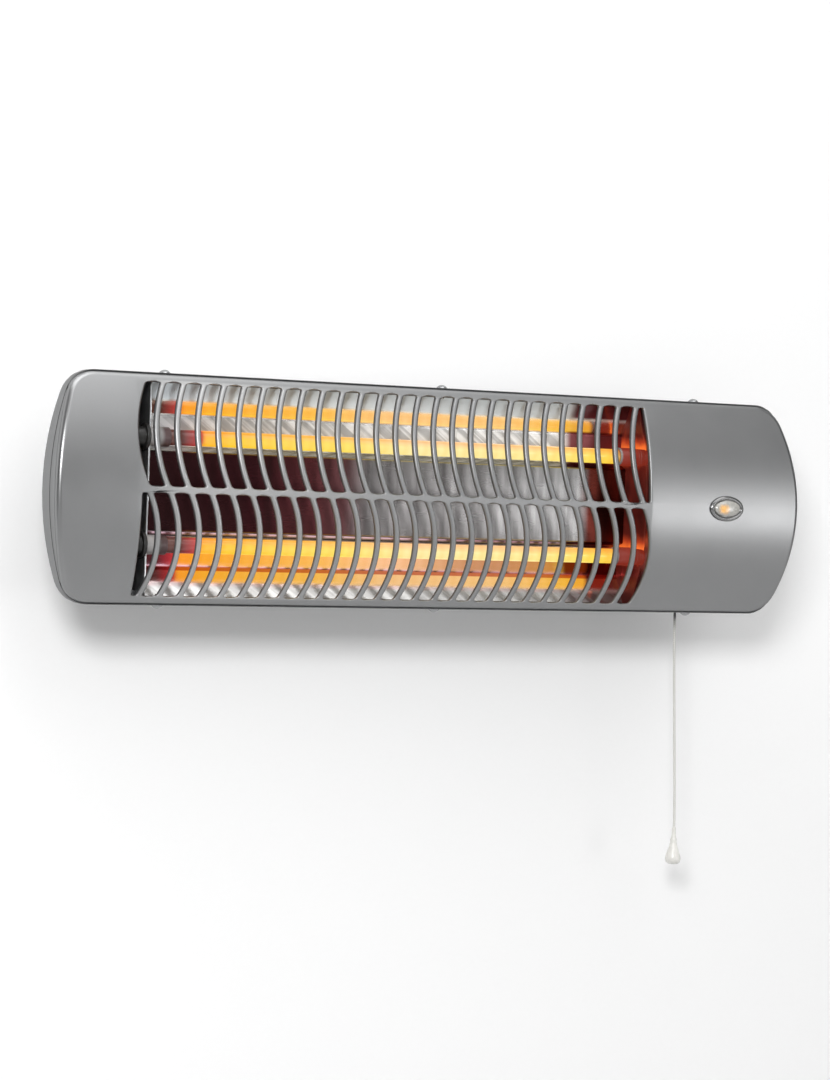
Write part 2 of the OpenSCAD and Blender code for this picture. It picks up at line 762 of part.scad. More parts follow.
coil_rings = 8;
coil_x0 = socket_left + coil_tail_left;
coil_x1 = socket_right - coil_tail_right;
coil_steps = coil_rings * coil_curls;
function coil_turn(i) = 360 * i / coil_rings;
function coil_width(i) = coil_d / 2 * min(1, 2 * i / coil_rings, 2 * (coil_steps - i) / coil_rings);
function coil_side(a) = [0, cos(a), sin(a)];
function coil_path(z) = concat([[socket_left, tube_y, z]],
    [for (i = [0:coil_steps]) [coil_x0 + (coil_x1 - coil_x0) * i / coil_steps, tube_y, z]
        + coil_width(i) * coil_side(coil_turn(i))],
    [[socket_right, tube_y, z]]);
coil_sides = concat([coil_side(0)], [for (i = [0:coil_steps]) coil_side(coil_turn(i))], [coil_side(0)]);
wire_sides = 6;

// Least gap between one curl of a path and the next, measured on its points
function curl_gap(p, rings, wire) = min([for (i = [rings:3 * rings])
    for (j = [ceil(rings * 0.6):ceil(rings * 1.4)]) norm(p[i] - p[i + j])]) - wire;
echo(least_gap_of_heating_coil = curl_gap(coil_path(0), coil_rings, coil_wire_d));

module heating_coil(side) color([1, 0.5, 0.15])
    sweep(coil_path(tube_height(side)), coil_sides, coil_wire_d / 2, wire_sides);

module heating_coil_upper() heating_coil(1);

module heating_coil_lower() heating_coil(-1);

plate_back_x = reflector_right + end_plate_wall;

// A cap with its mouth at the left, its collar against the plate's far face
module cap_body(side) {
    z = tube_height(side);
    difference() {
        union() {
            rod_x(cap_mouth_right, cap_end_right, tube_y, z, cap_r, mid_fn);
            rod_x(plate_back_x, plate_back_x + cap_collar_h, tube_y, z, cap_collar_d / 2, mid_fn);
        }
        rod_x(cap_mouth_right - over, socket_right, tube_y, z, tube_r + run_gap, mid_fn);
        rod_x(socket_right - over, cap_end_right + over, tube_y, z, stud_r + run_gap);
    }
}

module at_left_end() {
    translate([2 * reflector_x, 0, 0]) mirror([1, 0, 0]) children();
}

module cap_upper_left() color([0.92, 0.9, 0.86]) at_left_end() cap_body(1);

module cap_upper_right() color([0.92, 0.9, 0.86]) cap_body(1);

module cap_lower_left() color([0.92, 0.9, 0.86]) at_left_end() cap_body(-1);

module cap_lower_right() color([0.92, 0.9, 0.86]) cap_body(-1);

link_t = stud_d / 3;
nut_r = stud_d;
nut_h = stud_d * 0.8;

module stud(side) {
    rod_x(socket_right, cap_end_right + stud_out, tube_y, tube_height(side), stud_r);
    translate([cap_end_right + link_t, tube_y, tube_height(side)]) rotate([0, 90, 0])
        cylinder(r = nut_r, h = nut_h, $fn = 6);
}

module terminal_studs() color([0.78, 0.66, 0.36]) for (side = [-1, 1]) {
    stud(side);
    at_left_end() stud(side);
}

module link_strip() color([0.78, 0.66, 0.36]) difference() {
    block([cap_end_left - link_t, tube_y - stud_d * 1.2, tube_height(-1) - stud_d * 1.8],
        [cap_end_left, tube_y + stud_d * 1.2, tube_height(1) + stud_d * 1.8]);
    for (side = [-1, 1])
        rod_x(cap_end_left - link_t - over, cap_end_left + over, tube_y, tube_height(side),
            stud_r + run_gap);
}

// Leads from the right studs to the terminal block

stud_end_x = cap_end_right + stud_out;
block_left_x = block_x - block_w / 2;
lead_end_y = inner_back_y - block_deep / 2;
lead_rise = block_h / 5;
upper_route = [[stud_end_x, tube_y, tube_height(1)], [stud_end_x + lead_bend, tube_y, tube_height(1)],
    [stud_end_x + 2 * lead_bend, tube_y + lead_bend * 1.3, tube_height(1)],
    [block_left_x - 2.3 * lead_bend, lead_end_y - 4.6 * lead_bend, block_z + lead_rise],
    [block_left_x - 2 * lead_bend, lead_end_y - 1.6 * lead_bend, block_z + lead_rise],
    [block_left_x - lead_bend, lead_end_y, block_z + lead_rise],
    [block_left_x, lead_end_y, block_z + lead_rise]];
lower_route = [[stud_end_x, tube_y, tube_height(-1)], [stud_end_x + lead_bend, tube_y, tube_height(-1)],
    [stud_end_x + 1.7 * lead_bend, tube_y + 0.7 * lead_bend, tube_height(-1) + 1.3 * lead_bend],
    [stud_end_x + 2 * lead_bend, tube_y + 1.7 * lead_bend, tube_height(-1) + 5.3 * lead_bend],
    [stud_end_x + 2 * lead_bend, tube_y + 2.7 * lead_bend, 0],
    [stud_end_x + 2.3 * lead_bend, tube_y + 4.7 * lead_bend, switch_top_z + 0.7 * lead_bend],
    [block_left_x - 1.7 * lead_bend, lead_end_y - 1.3 * lead_bend, block_z - lead_rise],
    [block_left_x - lead_bend, lead_end_y, block_z - lead_rise],
    [block_left_x, lead_end_y, block_z - lead_rise]];

module lead(route, side) color([0.85, 0.85, 0.85]) let (p = eased(route, lead_ring_step))
    sweep(p, [for (q = p) side], lead_r, cord_sides);

module lead_upper() lead(upper_route, [0, 0, 1]);

module lead_lower() lead(lower_route, [0, 1, 0]);

module terminal_block() color([0.9, 0.9, 0.86]) difference() {
    block([block_left_x, inner_back_y - block_deep, block_z - block_h / 2],
        [block_left_x + block_w, inner_back_y, block_z + block_h / 2]);
    for (i = [-1:1]) {
        rod_y(block_x + i * block_w / 3, inner_back_y - block_deep - over, inner_back_y - block_deep / 2,
            block_z, head_r + air_gap);
        block([block_x + (i + 0.38) * block_w / 3, inner_back_y - block_deep - over, block_z - block_h],
            [block_x + (i + 0.62) * block_w / 3, inner_back_y - block_deep * 0.7, block_z + block_h]);
    }
}

module terminal_screws() color([0.78, 0.66, 0.36]) for (i = [-1:1])
    rod_y(block_x + i * block_w / 3, inner_back_y - block_deep * 0.9, inner_back_y - block_deep / 2,
        block_z, head_r);

module earth_screw() color([0.8, 0.8, 0.82]) translate([earth_x, 0, earth_z]) {
    pan_screw_y(inner_back_y - screw_d / 4, true);
    difference() {
        rod_y(0, inner_back_y - screw_d / 4, inner_back_y, 0, head_r * 1.5);
        rod_y(0, inner_back_y - screw_d, inner_back_y + over, 0, screw_r);
    }
}

module thermal_cutout() color([0.2, 0.2, 0.22]) {
    x = reflector_right + end_plate_wall;
    y = (trough_y + inner_back_y) / 2;
    rod_x(x, x + cutout_h, y, -reflector_drop, cutout_r);
    block([x, y - cutout_r * 0.4, -reflector_drop - cutout_r * 1.5],
        [x + cutout_h / 4, y + cutout_r * 0.4, -reflector_drop + cutout_r * 1.5]);
}

// Signal lamp

lamp_x = half_w - lamp_from_end;
holder_y = front_y(bezel_h / 2, cover_wall) + air_gap;
bezel_hole_w = bezel_w - bezel_band;
bezel_hole_h = bezel_h - bezel_band;
lens_w = bezel_w - 2 * bezel_band;
lens_h = bezel_h - 2 * bezel_band;
holder_back_y = apex_y + lamp_deep;
bezel_front_y = apex_y - bezel_proud;
bezel_edge_y = apex_y - bezel_proud / 2;
bezel_back_y = apex_y + cover_wall * 2;
lens_crown_y = bezel_front_y - lens_proud * 0.6;

module oval_y(y0, y1, w, h) {
    along_y(y0, y1) translate([lamp_x, 0]) polygon(oval(w, h));
}

module lamp_bezel() color([0.75, 0.75, 0.76]) difference() {
    union() {
        oval_y(bezel_front_y, bezel_edge_y, bezel_w - bezel_band / 2, bezel_h - bezel_band / 2);
        oval_y(bezel_edge_y, apex_y, bezel_w, bezel_h);
        oval_y(bezel_edge_y, bezel_back_y, bezel_hole_w - air_gap, bezel_hole_h - air_gap);
    }
    oval_y(bezel_front_y - over, bezel_back_y + over, lens_w, lens_h);
}

module lamp_lens() color([0.95, 0.8, 0.5]) {
    oval_y(bezel_front_y, apex_y + cover_wall, lens_w - 2 * run_gap, lens_h - 2 * run_gap);
    oval_y(lens_crown_y, bezel_front_y, lens_w * 0.9, lens_h * 0.9);
    oval_y(bezel_front_y - lens_proud, lens_crown_y, lens_w * 0.65, lens_h * 0.65);
}

module lamp_holder() color([0.9, 0.9, 0.88]) difference() {
    oval_y(holder_y, holder_back_y, bezel_w, bezel_h);
    oval_y(holder_y - over, holder_back_y - lamp_wall, bezel_w - 2 * lamp_wall, bezel_h - 2 * lamp_wall);
}

module neon_lamp() color([1, 0.6, 0.3]) {
    y = (apex_y + cover_wall + holder_back_y) / 2;
    rod_x(lamp_x - neon_len / 2, lamp_x + neon_len / 2, y, 0, neon_d / 2);
    for (sx = [-1, 1]) rod_y(lamp_x + sx * neon_len / 4, y, holder_back_y - lamp_wall, 0, neon_d / 10, 16);
}

// Pull switch: housing with two pins, plunger, spring, lever and ratchet wheel

switch_right_x = switch_left_x + switch_w;
pin_seat_y = lever_front_y + ratchet_h + air_gap;

module switch_housing() color([0.93, 0.92, 0.88]) difference() {
    union() {
        difference() {
            block([switch_left_x, switch_front_y, switch_bottom_z],
                [switch_right_x, inner_back_y, switch_top_z]);
            block([switch_left_x + switch_wall, switch_front_y - over, switch_bottom_z + switch_wall],
                [switch_right_x - switch_wall, inner_back_y - switch_wall, switch_top_z - switch_wall]);
        }
        rod_z(cord_x, cord_y, switch_bottom_z, guide_top_z, guide_r);
        for (place = [[lever_pivot_x, lever_pivot_z], [ratchet_x, ratchet_z]]) {
            rod_y(place[0], pin_seat_y, inner_back_y - switch_wall, place[1], pin_r * 1.6);
            rod_y(place[0], switch_front_y + air_gap, inner_back_y - switch_wall, place[1], pin_r);
        }
    }
    rod_z(cord_x, cord_y, switch_bottom_z - over, guide_top_z + over, stem_r + run_gap);
    switch_screw_places() rod_y(0, inner_back_y - switch_wall - over, back_y, 0, screw_r + run_gap);
}

module switch_cover() color([0.93, 0.92, 0.88])
    block([switch_left_x, switch_front_y - switch_wall, switch_bottom_z],
        [switch_right_x, switch_front_y, switch_top_z]);

module switch_screws() color([0.8, 0.8, 0.82]) switch_screw_places()
    pan_screw_y(inner_back_y - switch_wall, true);

module switch_plunger() color([0.85, 0.83, 0.78]) difference() {
    union() {
        rod_z(cord_x, cord_y, fork_top_z - fork_h / 4, collar_high_z, stem_r);
        rod_z(cord_x, cord_y, collar_low_z, collar_low_z + collar_h, collar_r);
        rod_z(cord_x, cord_y, collar_high_z - collar_h, collar_high_z, collar_r);
        block([cord_x - fork_w / 2, cord_y - fork_w / 2, fork_top_z - fork_h],
            [cord_x + fork_w / 2, cord_y + fork_w / 2, fork_top_z]);
    }
    difference() {
        block([cord_x - fork_slot_w / 2, cord_y - fork_w, fork_top_z - fork_h - over],
            [cord_x + fork_slot_w / 2, cord_y + fork_w, eye_z + eye_r + air_gap]);
        rod_x(cord_x - fork_w / 2, cord_x + fork_w / 2, cord_y, eye_z, eye_pin_r);
    }
}

spring_z0 = guide_top_z;
spring_z1 = collar_low_z;
spring_rings = 8;
spring_steps = spring_rings * spring_curls;
function spring_side(i) = [cos(360 * i / spring_rings), sin(360 * i / spring_rings), 0];
function spring_path() = concat([[cord_x + spring_r, cord_y, spring_z0]],
    [for (i = [0:spring_steps]) [cord_x, cord_y, spring_z0 + spring_wire_d
        + (spring_z1 - spring_z0 - 2 * spring_wire_d) * i / spring_steps] + spring_r * spring_side(i)],
    [[cord_x + spring_r, cord_y, spring_z1]]);
echo(least_gap_of_return_spring = curl_gap(spring_path(), spring_rings, spring_wire_d));

spring_sides = concat([spring_side(0)], [for (i = [0:spring_steps]) spring_side(i)], [spring_side(0)]);

module return_spring() color([0.7, 0.7, 0.72])
    sweep(spring_path(), spring_sides, spring_wire_d / 2, wire_sides);

module switch_lever() color([0.85, 0.83, 0.78]) {
    difference() {
        rod_y(lever_pivot_x, lever_front_y, lever_front_y + ratchet_h, lever_pivot_z, lever_boss_r);
        rod_y(lever_pivot_x, lever_front_y - over, lever_front_y + ratchet_h + over, lever_pivot_z,
            pin_r + run_gap);
    }
    translate([lever_pivot_x, 0, lever_pivot_z]) rotate([0, -pull_share, 0]) {
        block([(pin_r + lever_boss_r) / 2, lever_front_y, -lever_bar_h / 2],
            [lever_len, lever_back_y, lever_bar_h / 2]);
        rod_y(lever_len, lever_front_y, lever_back_y, 0, lever_tip_r);
        block([-lever_bar_h / 2, lever_front_y, (pin_r + lever_boss_r) / 2],
            [lever_bar_h / 2, lever_back_y, lever_len * 0.68]);
    }
}

// The ratchet wheel's saw teeth
function saw(r0, r1, n) = [for (i = [0:n - 1]) each [[r1 * cos(360 * i / n), r1 * sin(360 * i / n)],
    [r0 * cos(360 * i / n + 30 / n), r0 * sin(360 * i / n + 30 / n)]]];

module ratchet_wheel() color([0.85, 0.83, 0.78]) difference() {
    union() {
        along_y(lever_front_y, lever_back_y) translate([ratchet_x, ratchet_z])
            polygon(saw(ratchet_d * 0.38, ratchet_d / 2, ratchet_teeth));
        rod_y(ratchet_x, lever_front_y, lever_front_y + ratchet_h, ratchet_z, lever_boss_r);
    }
    rod_y(ratchet_x, lever_front_y - over, lever_front_y + ratchet_h + over, ratchet_z, pin_r + run_gap);
}

// Cord outlet: bush, ferrule, cord and pull

module cord_bush() color([0.9, 0.9, 0.88]) difference() {
    union() {
        rod_z(cord_x, cord_y, -box_half_h - bush_flange_h, -box_half_h, bush_flange_r);
        rod_z(cord_x, cord_y, -box_half_h - bush_flange_h, -box_inner_half_h + bush_flange_h, bush_r);
    }
    rod_z(cord_x, cord_y, -box_half_h - bush_flange_h - over, -box_inner_half_h + bush_flange_h + over,
        stem_r + run_gap);
}

module cord_ferrule() color([0.8, 0.8, 0.82]) difference() {
    union() {
        rod_x(cord_x - fork_slot_w / 2 + run_gap, cord_x + fork_slot_w / 2 - run_gap, cord_y, eye_z, eye_r);
        block([cord_x - fork_slot_w / 2 + run_gap, cord_y - eye_r * 0.7, eye_z - eye_drop],
            [cord_x + fork_slot_w / 2 - run_gap, cord_y + eye_r * 0.7, eye_z]);
        rod_z(cord_x, cord_y, cord_route[0][2], eye_z - eye_drop, eye_r);
    }
    rod_x(cord_x - fork_slot_w, cord_x + fork_slot_w, cord_y, eye_z, eye_pin_r + run_gap);
}

cord_points = eased(cord_route, cord_ring_step);

module pull_cord() color([0.88, 0.88, 0.88])
    sweep(cord_points, [for (q = cord_points) [0, 1, 0]], cord_r, cord_sides);

pull_neck_r = pull_d * 0.26;
pull_r = pull_d / 2;

module pull_knob() color([0.85, 0.85, 0.86]) translate(cord_route[len(cord_route) - 1]) mirror([0, 0, 1])
    rotate_extrude($fn = mid_fn) union() {
        polygon([[0, 0], [pull_neck_r * 0.8, 0], [pull_neck_r, pull_h * 0.05],
            [pull_neck_r * 1.15, pull_h * 0.25], [pull_r * 0.8, pull_h * 0.5], [pull_r, pull_h - pull_r],
            [0, pull_h - pull_r]]);
        intersection() {
            translate([0, pull_h - pull_r]) circle(r = pull_r, $fn = mid_fn);
            translate([0, pull_h - pull_r]) square([pull_r, pull_r]);
        }
    }

module cable_grommet() color([0.12, 0.12, 0.12]) difference() {
    union() {
        rod_y(grommet_x, inner_back_y - grommet_lip, back_y + grommet_lip, grommet_z,
            grommet_r - run_gap);
        rod_y(grommet_x, inner_back_y - grommet_lip, inner_back_y, grommet_z, grommet_flange_r);
        rod_y(grommet_x, back_y, back_y + grommet_lip, grommet_z, grommet_flange_r);
    }
    rod_y(grommet_x, inner_back_y - grommet_lip - over, back_y + grommet_lip + over, grommet_z,
        grommet_bore_r);
}

// Brackets and pivots

module ear(x0, x1, y_root) {
    rod_x(x0, x1, pivot_y, 0, ear_r, mid_fn);
    block([x0, min(y_root, pivot_y), -ear_r], [x1, max(y_root, pivot_y), ear_r]);
}

module pivot_holes() {
    rod_x(-half_w, half_w, pivot_y, 0, pivot_r + run_gap);
}

module tilt_bracket() color([0.7, 0.7, 0.72]) difference() {
    union() {
        block([-tilt_ear_x, back_y, -tilt_plate_h / 2], [tilt_ear_x, tilt_plate_y, tilt_plate_h / 2]);
        ear(-tilt_ear_x, -tilt_ear_x + bracket_t, back_y);
        ear(tilt_ear_x - bracket_t, tilt_ear_x, back_y);
    }
    pivot_holes();
    tilt_screw_places() rod_y(0, back_y - over, tilt_plate_y + over, 0, screw_r + run_gap);
}

module tilt_screws() color([0.8, 0.8, 0.82]) tilt_screw_places() pan_screw_y(tilt_plate_y, false);

module wall_bracket() color([0.7, 0.7, 0.72]) difference() {
    union() {
        block([-ear_x - bracket_t, -bracket_t, -plate_h / 2], [ear_x + bracket_t, 0, plate_h / 2]);
        ear(-ear_x - bracket_t, -ear_x, 0);
        ear(ear_x, ear_x + bracket_t, 0);
    }
    pivot_holes();
    for (side = [-1, 1]) translate([side * wall_screw_x, 0, 0]) {
        flat = wall_slot_len - wall_slot_w;
        block([-flat / 2, -bracket_t - over, -wall_slot_w / 2], [flat / 2, over, wall_slot_w / 2]);
        for (end = [-1, 1]) rod_y(end * flat / 2, -bracket_t - over, over, 0, wall_slot_w / 2);
    }
}

pivot_head_r = pivot_d * 0.85;
pivot_head_h = pivot_d * 0.55;

module pivot_screws() color([0.8, 0.8, 0.82]) for (side = [0, 1]) mirror([side, 0, 0]) {
    rod_x(tilt_ear_x - bracket_t - air_gap - pivot_head_h, ear_x + bracket_t, pivot_y, 0, pivot_r);
    rod_x(ear_x + bracket_t, ear_x + bracket_t + pivot_head_h, pivot_y, 0, pivot_head_r);
    translate([tilt_ear_x - bracket_t - air_gap - pivot_head_h, pivot_y, 0]) rotate([0, 90, 0])
        cylinder(r = pivot_head_r, h = pivot_head_h, $fn = 6);
}

front_cover();
rear_casing();
cover_screws();
reflector();
reflector_end_left();
reflector_end_right();
heat_shield();
reflector_screws();
quartz_tube_upper();
quartz_tube_lower();
heating_coil_upper();
heating_coil_lower();
cap_upper_left();
cap_upper_right();
cap_lower_left();
cap_lower_right();
terminal_studs();
link_strip();
lead_upper();
lead_lower();
terminal_block();
terminal_screws();
earth_screw();
thermal_cutout();
lamp_bezel();
lamp_lens();
lamp_holder();
neon_lamp();
switch_housing();
switch_cover();
switch_screws();
switch_plunger();
return_spring();
switch_lever();
ratchet_wheel();
cord_bush();
cord_ferrule();
pull_cord();
pull_knob();
cable_grommet();
tilt_bracket();
tilt_screws();
pivot_screws();
wall_bracket();
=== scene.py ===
"""Electric bar heater for a wall: a silver painted steel cover with two rows of curved ribs over two
glowing quartz tubes, a signal lamp, and a pull cord that hangs from the switch at the right end.
All sizes are in metres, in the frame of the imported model: X along the heater, -Y out of the wall, Z up."""

import json
import math

import bmesh
import bpy
from mathutils import Matrix, Vector

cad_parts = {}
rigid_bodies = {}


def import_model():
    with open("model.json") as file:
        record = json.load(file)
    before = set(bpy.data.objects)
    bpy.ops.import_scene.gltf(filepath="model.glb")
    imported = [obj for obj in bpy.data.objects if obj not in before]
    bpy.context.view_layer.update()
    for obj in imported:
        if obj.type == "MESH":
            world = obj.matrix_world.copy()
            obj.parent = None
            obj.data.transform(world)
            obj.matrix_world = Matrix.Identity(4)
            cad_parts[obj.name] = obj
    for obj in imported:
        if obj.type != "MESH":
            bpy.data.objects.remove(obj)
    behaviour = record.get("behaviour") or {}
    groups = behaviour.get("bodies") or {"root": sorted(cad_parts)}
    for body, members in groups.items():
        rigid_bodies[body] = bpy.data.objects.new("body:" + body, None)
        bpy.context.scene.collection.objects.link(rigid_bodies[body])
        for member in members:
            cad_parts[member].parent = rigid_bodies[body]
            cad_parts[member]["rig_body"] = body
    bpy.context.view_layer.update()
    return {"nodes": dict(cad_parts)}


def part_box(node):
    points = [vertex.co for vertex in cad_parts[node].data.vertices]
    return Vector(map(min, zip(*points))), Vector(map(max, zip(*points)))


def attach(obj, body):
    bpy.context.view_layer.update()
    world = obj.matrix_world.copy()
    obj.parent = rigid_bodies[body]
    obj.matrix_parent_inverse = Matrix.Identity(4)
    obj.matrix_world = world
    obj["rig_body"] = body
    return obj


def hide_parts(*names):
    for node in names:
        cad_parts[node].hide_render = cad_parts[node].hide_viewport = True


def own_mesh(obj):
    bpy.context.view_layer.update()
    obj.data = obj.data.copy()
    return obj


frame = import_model()
nodes = frame["nodes"]
MM = 0.001


# Wall bracket: a strip of galvanised steel with an ear bent out at each end, screwed to the wall
# through two slots. The zinc shows large dull crystals.

class Wire:
    """A shader socket that can be reckoned with like a number, also with a number before it."""

    def __init__(self, finish, socket):
        self.finish, self.socket = finish, socket

    def _math(self, operation, a, b):
        return self.finish.node("ShaderNodeMath", {"operation": operation}, {0: a, 1: b})

    def __add__(self, other):
        return self._math("ADD", self, other)

    def __radd__(self, other):
        return self._math("ADD", other, self)

    def __sub__(self, other):
        return self._math("SUBTRACT", self, other)

    def __rsub__(self, other):
        return self._math("SUBTRACT", other, self)

    def __mul__(self, other):
        return self._math("MULTIPLY", self, other)

    def __rmul__(self, other):
        return self._math("MULTIPLY", other, self)

    def __truediv__(self, other):
        return self._math("DIVIDE", self, other)

    def __rtruediv__(self, other):
        return self._math("DIVIDE", other, self)

    def __pow__(self, other):
        return self._math("POWER", self, other)

    def __rpow__(self, other):
        return self._math("POWER", other, self)

    def part(self, index):
        """One coordinate of a vector, 0 to 2."""
        return self.finish.node("ShaderNodeSeparateXYZ", {}, {0: self}, out=index)

    def band(self, low, high, to_low=0.0, to_high=1.0):
        """Turns low..high into to_low..to_high, smoothly, and holds it beyond."""
        return self.finish.node("ShaderNodeMapRange", {"interpolation_type": "SMOOTHSTEP"},
                                {0: self, 1: low, 2: high, 3: to_low, 4: to_high})

    def within(self, near, far):
        """1 up to a distance from zero on both sides, fading to 0 at a larger one."""
        return (self * self).band(near ** 2, far ** 2, 1.0, 0.0)


class Finish:
    """A material on a Principled shader, with its patterns in object coordinates."""

    def __init__(self, name, color, roughness, metallic=0.0):
        self.material = bpy.data.materials.new(name)
        self.material.use_nodes = True
        self.tree = self.material.node_tree
        self.shader = self.tree.nodes["Principled BSDF"]
        self.give("Base Color", (*color, 1.0))
        self.give("Roughness", roughness)
        self.give("Metallic", metallic)

    def node(self, kind, settings, sockets, out=0):
        """Adds a node of a kind, sets it, then fills its sockets with values or links."""
        made = self.tree.nodes.new(kind)
        for key, value in settings.items():
            if key == "stops":
                ramp = made.color_ramp.elements
                while len(ramp) < len(value):
                    ramp.new(0.5)
                for stop, (place, color) in zip(ramp, value):
                    stop.position, stop.color = place, (*color, 1.0)
            else:
                setattr(made, key, value)
        for key, value in sockets.items():
            self.plug(value, made.inputs[key])
        return Wire(self, made.outputs[out])

    def plug(self, value, socket):
        """Links a wire to a socket, or writes a plain value into it."""
        if isinstance(value, Wire):
            self.tree.links.new(value.socket, socket)
        else:
            socket.default_value = value

    def give(self, name, value):
        """Feeds one socket of the material's shader."""
        self.plug(value, self.shader.inputs[name])

    def place(self, stretch=(1.0, 1.0, 1.0)):
        """The point on the piece, in metres, stretched along its axes."""
        point = self.node("ShaderNodeTexCoord", {}, {}, out=3)
        return self.node("ShaderNodeMapping", {}, {0: point, 3: stretch})

    def noise(self, size, detail=2.0, stretch=(1.0, 1.0, 1.0)):
        """Soft noise with blobs of about this size in metres."""
        return self.node("ShaderNodeTexNoise", {},
                         {"Vector": self.place(stretch), "Scale": 1.0 / size, "Detail": detail})

    def cells(self, size, stretch=(1.0, 1.0, 1.0), out=0):
        """Cells of about this size: 0 gives the distance from a cell's middle, 1 its colour."""
        return self.node("ShaderNodeTexVoronoi", {},
                         {"Vector": self.place(stretch), "Scale": 1.0 / size}, out=out)

    def blend(self, share, low, high, kind="MIX"):
        """A colour between two, or with MULTIPLY their product. Each is a link or three numbers."""
        low, high = (c if isinstance(c, Wire) else (*c, 1.0) for c in (low, high))
        return self.node("ShaderNodeMix", {"data_type": "RGBA", "blend_type": kind},
                         {0: share, 6: low, 7: high}, out=2)

    def ramp(self, share, stops):
        """A colour that follows a share, from stops of a place and three numbers each."""
        return self.node("ShaderNodeValToRGB", {"stops": stops}, {0: share})

    def bump(self, height, depth, strength=1.0):
        """Raises the surface by height times depth in metres."""
        return self.node("ShaderNodeBump", {}, {"Height": height, "Distance": depth, "Strength": strength})

    def weave(self, scale, distortion, stretch=(1.0, 1.0, 1.0)):
        """Slanted bands, as the strands of a braid show them."""
        return self.node("ShaderNodeTexWave", {"wave_type": "BANDS", "bands_direction": "DIAGONAL"},
                         {"Vector": self.place(stretch), "Scale": scale, "Distortion": distortion})

    def cloud(self, size, low, high):
        """Colour that wanders between two, in patches of about this size."""
        self.give("Base Color", self.blend(self.noise(size, 3), low, high))

    def mottle(self, size, low, spread, detail=3.0):
        """Roughness that wanders from low upwards, in patches of about this size."""
        self.give("Roughness", self.noise(size, detail) * spread + low)

    def grain(self, size, depth, strength, detail=2.0, stretch=(1.0, 1.0, 1.0)):
        """A fine grain in the surface."""
        self.give("Normal", self.bump(self.noise(size, detail, stretch), depth, strength))

    def glow(self, color, strength):
        """Light that the surface gives off by itself."""
        self.give("Emission Color", color)
        self.give("Emission Strength", strength)


def dress(finish, *pieces):
    """Puts a finish on pieces, or on CAD nodes given by name."""
    for piece in pieces:
        mesh = (nodes[piece] if isinstance(piece, str) else piece).data
        mesh.materials.clear()
        mesh.materials.append(finish.material)


def only(piece):
    """Selects one object alone, ready for an operator."""
    if bpy.context.mode != "OBJECT":
        bpy.ops.object.mode_set(mode="OBJECT")
    for other in bpy.context.view_layer.objects:
        other.select_set(False)
    piece.select_set(True)
    bpy.context.view_layer.objects.active = piece
    return piece


def edit(piece, kind):
    """Opens a piece in edit mode with nothing selected, and returns its mesh there."""
    only(piece)
    bpy.ops.object.mode_set(mode="EDIT")
    bpy.ops.mesh.select_mode(type=kind)
    bpy.ops.mesh.select_all(action="DESELECT")
    return bmesh.from_edit_mesh(piece.data)


def pick(piece, parts, test):
    """Selects the vertices, edges or faces that pass a test."""
    for part in parts:
        part.select_set(bool(test(part)))
    bmesh.update_edit_mesh(piece.data)


def weld(gap=0.01 * MM):
    """Merges points that lie together in the mesh being edited, and leaves it all selected."""
    bpy.ops.mesh.select_all(action="SELECT")
    bpy.ops.mesh.remove_doubles(threshold=gap)


def finish_piece(name, piece, body, finish, replaced, smooth=40):
    """Names a finished piece, shades it, gives it its material and sets it on its body."""
    only(piece)
    bpy.ops.object.transform_apply(location=True, rotation=True, scale=True)
    bpy.ops.object.shade_smooth_by_angle(angle=math.radians(smooth))
    piece.name = piece.data.name = name
    dress(finish, piece)
    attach(piece, body)
    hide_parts(replaced)
    return piece


def free_copy(node):
    """A copy of a CAD piece without the marks that tie it to the frame."""
    piece = nodes[node].copy()
    piece.data = nodes[node].data.copy()
    piece.parent = None
    for key in list(piece.keys()):
        if key.startswith("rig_"):
            del piece[key]
    bpy.context.scene.collection.objects.link(piece)
    return piece


def rounded_copy(node, look, rounding, segments, finish, turn=35):
    """A merged copy of a CAD piece whose edges sharper than turn, in degrees, are rounded off."""
    piece = free_copy(node)
    only(piece)
    bpy.ops.mesh.customdata_custom_splitnormals_clear()
    edit(piece, "VERT")
    weld()
    bpy.ops.mesh.dissolve_limited(angle_limit=math.radians(0.6))
    mesh = edit(piece, "EDGE")
    pick(piece, mesh.edges, lambda e: e.is_manifold and e.calc_face_angle(0) > math.radians(turn))
    bpy.ops.mesh.bevel(offset=rounding, segments=segments, affect="EDGES", clamp_overlap=True)
    bpy.ops.object.mode_set(mode="OBJECT")
    return finish_piece(node + "_" + look, piece, nodes[node]["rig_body"], finish, node)


zinc = Finish("galvanised steel", (0.62, 0.64, 0.66), 0.38, 0.9)
crystals = zinc.cells(7 * MM, out=1)
zinc.give("Base Color", zinc.blend(crystals.part(0), (0.50, 0.52, 0.54), (0.68, 0.70, 0.72)))
zinc.give("Roughness", crystals.part(1) * 0.22 + 0.3)
zinc.grain(0.9 * MM, 0.03 * MM, 0.6, detail=3)
rounded_copy("wall_bracket", "steel", 0.45 * MM, 2, zinc)


# Tilt bracket: the same steel, fixed to the heater's back, with its ears inside those of the wall
# bracket. Two bright hexagon screws join the ears, so that the heater can be tilted down.

rounded_copy("tilt_bracket", "steel", 0.45 * MM, 2, zinc)

bright = Finish("bright plated screw", (0.30, 0.305, 0.31), 0.2, 1.0)
bright.mottle(1.2 * MM, 0.14, 0.1, detail=2)
bright.grain(0.25 * MM, 0.01 * MM, 0.5)
rounded_copy("pivot_screws", "bright", 0.3 * MM, 2, bright)
rounded_copy("tilt_screws", "bright", 0.25 * MM, 2, bright)


# Rear casing: a tub pressed in steps from thin steel, with air vents in its back, its top and its
# bottom. It is stove painted in a plain dark grey.

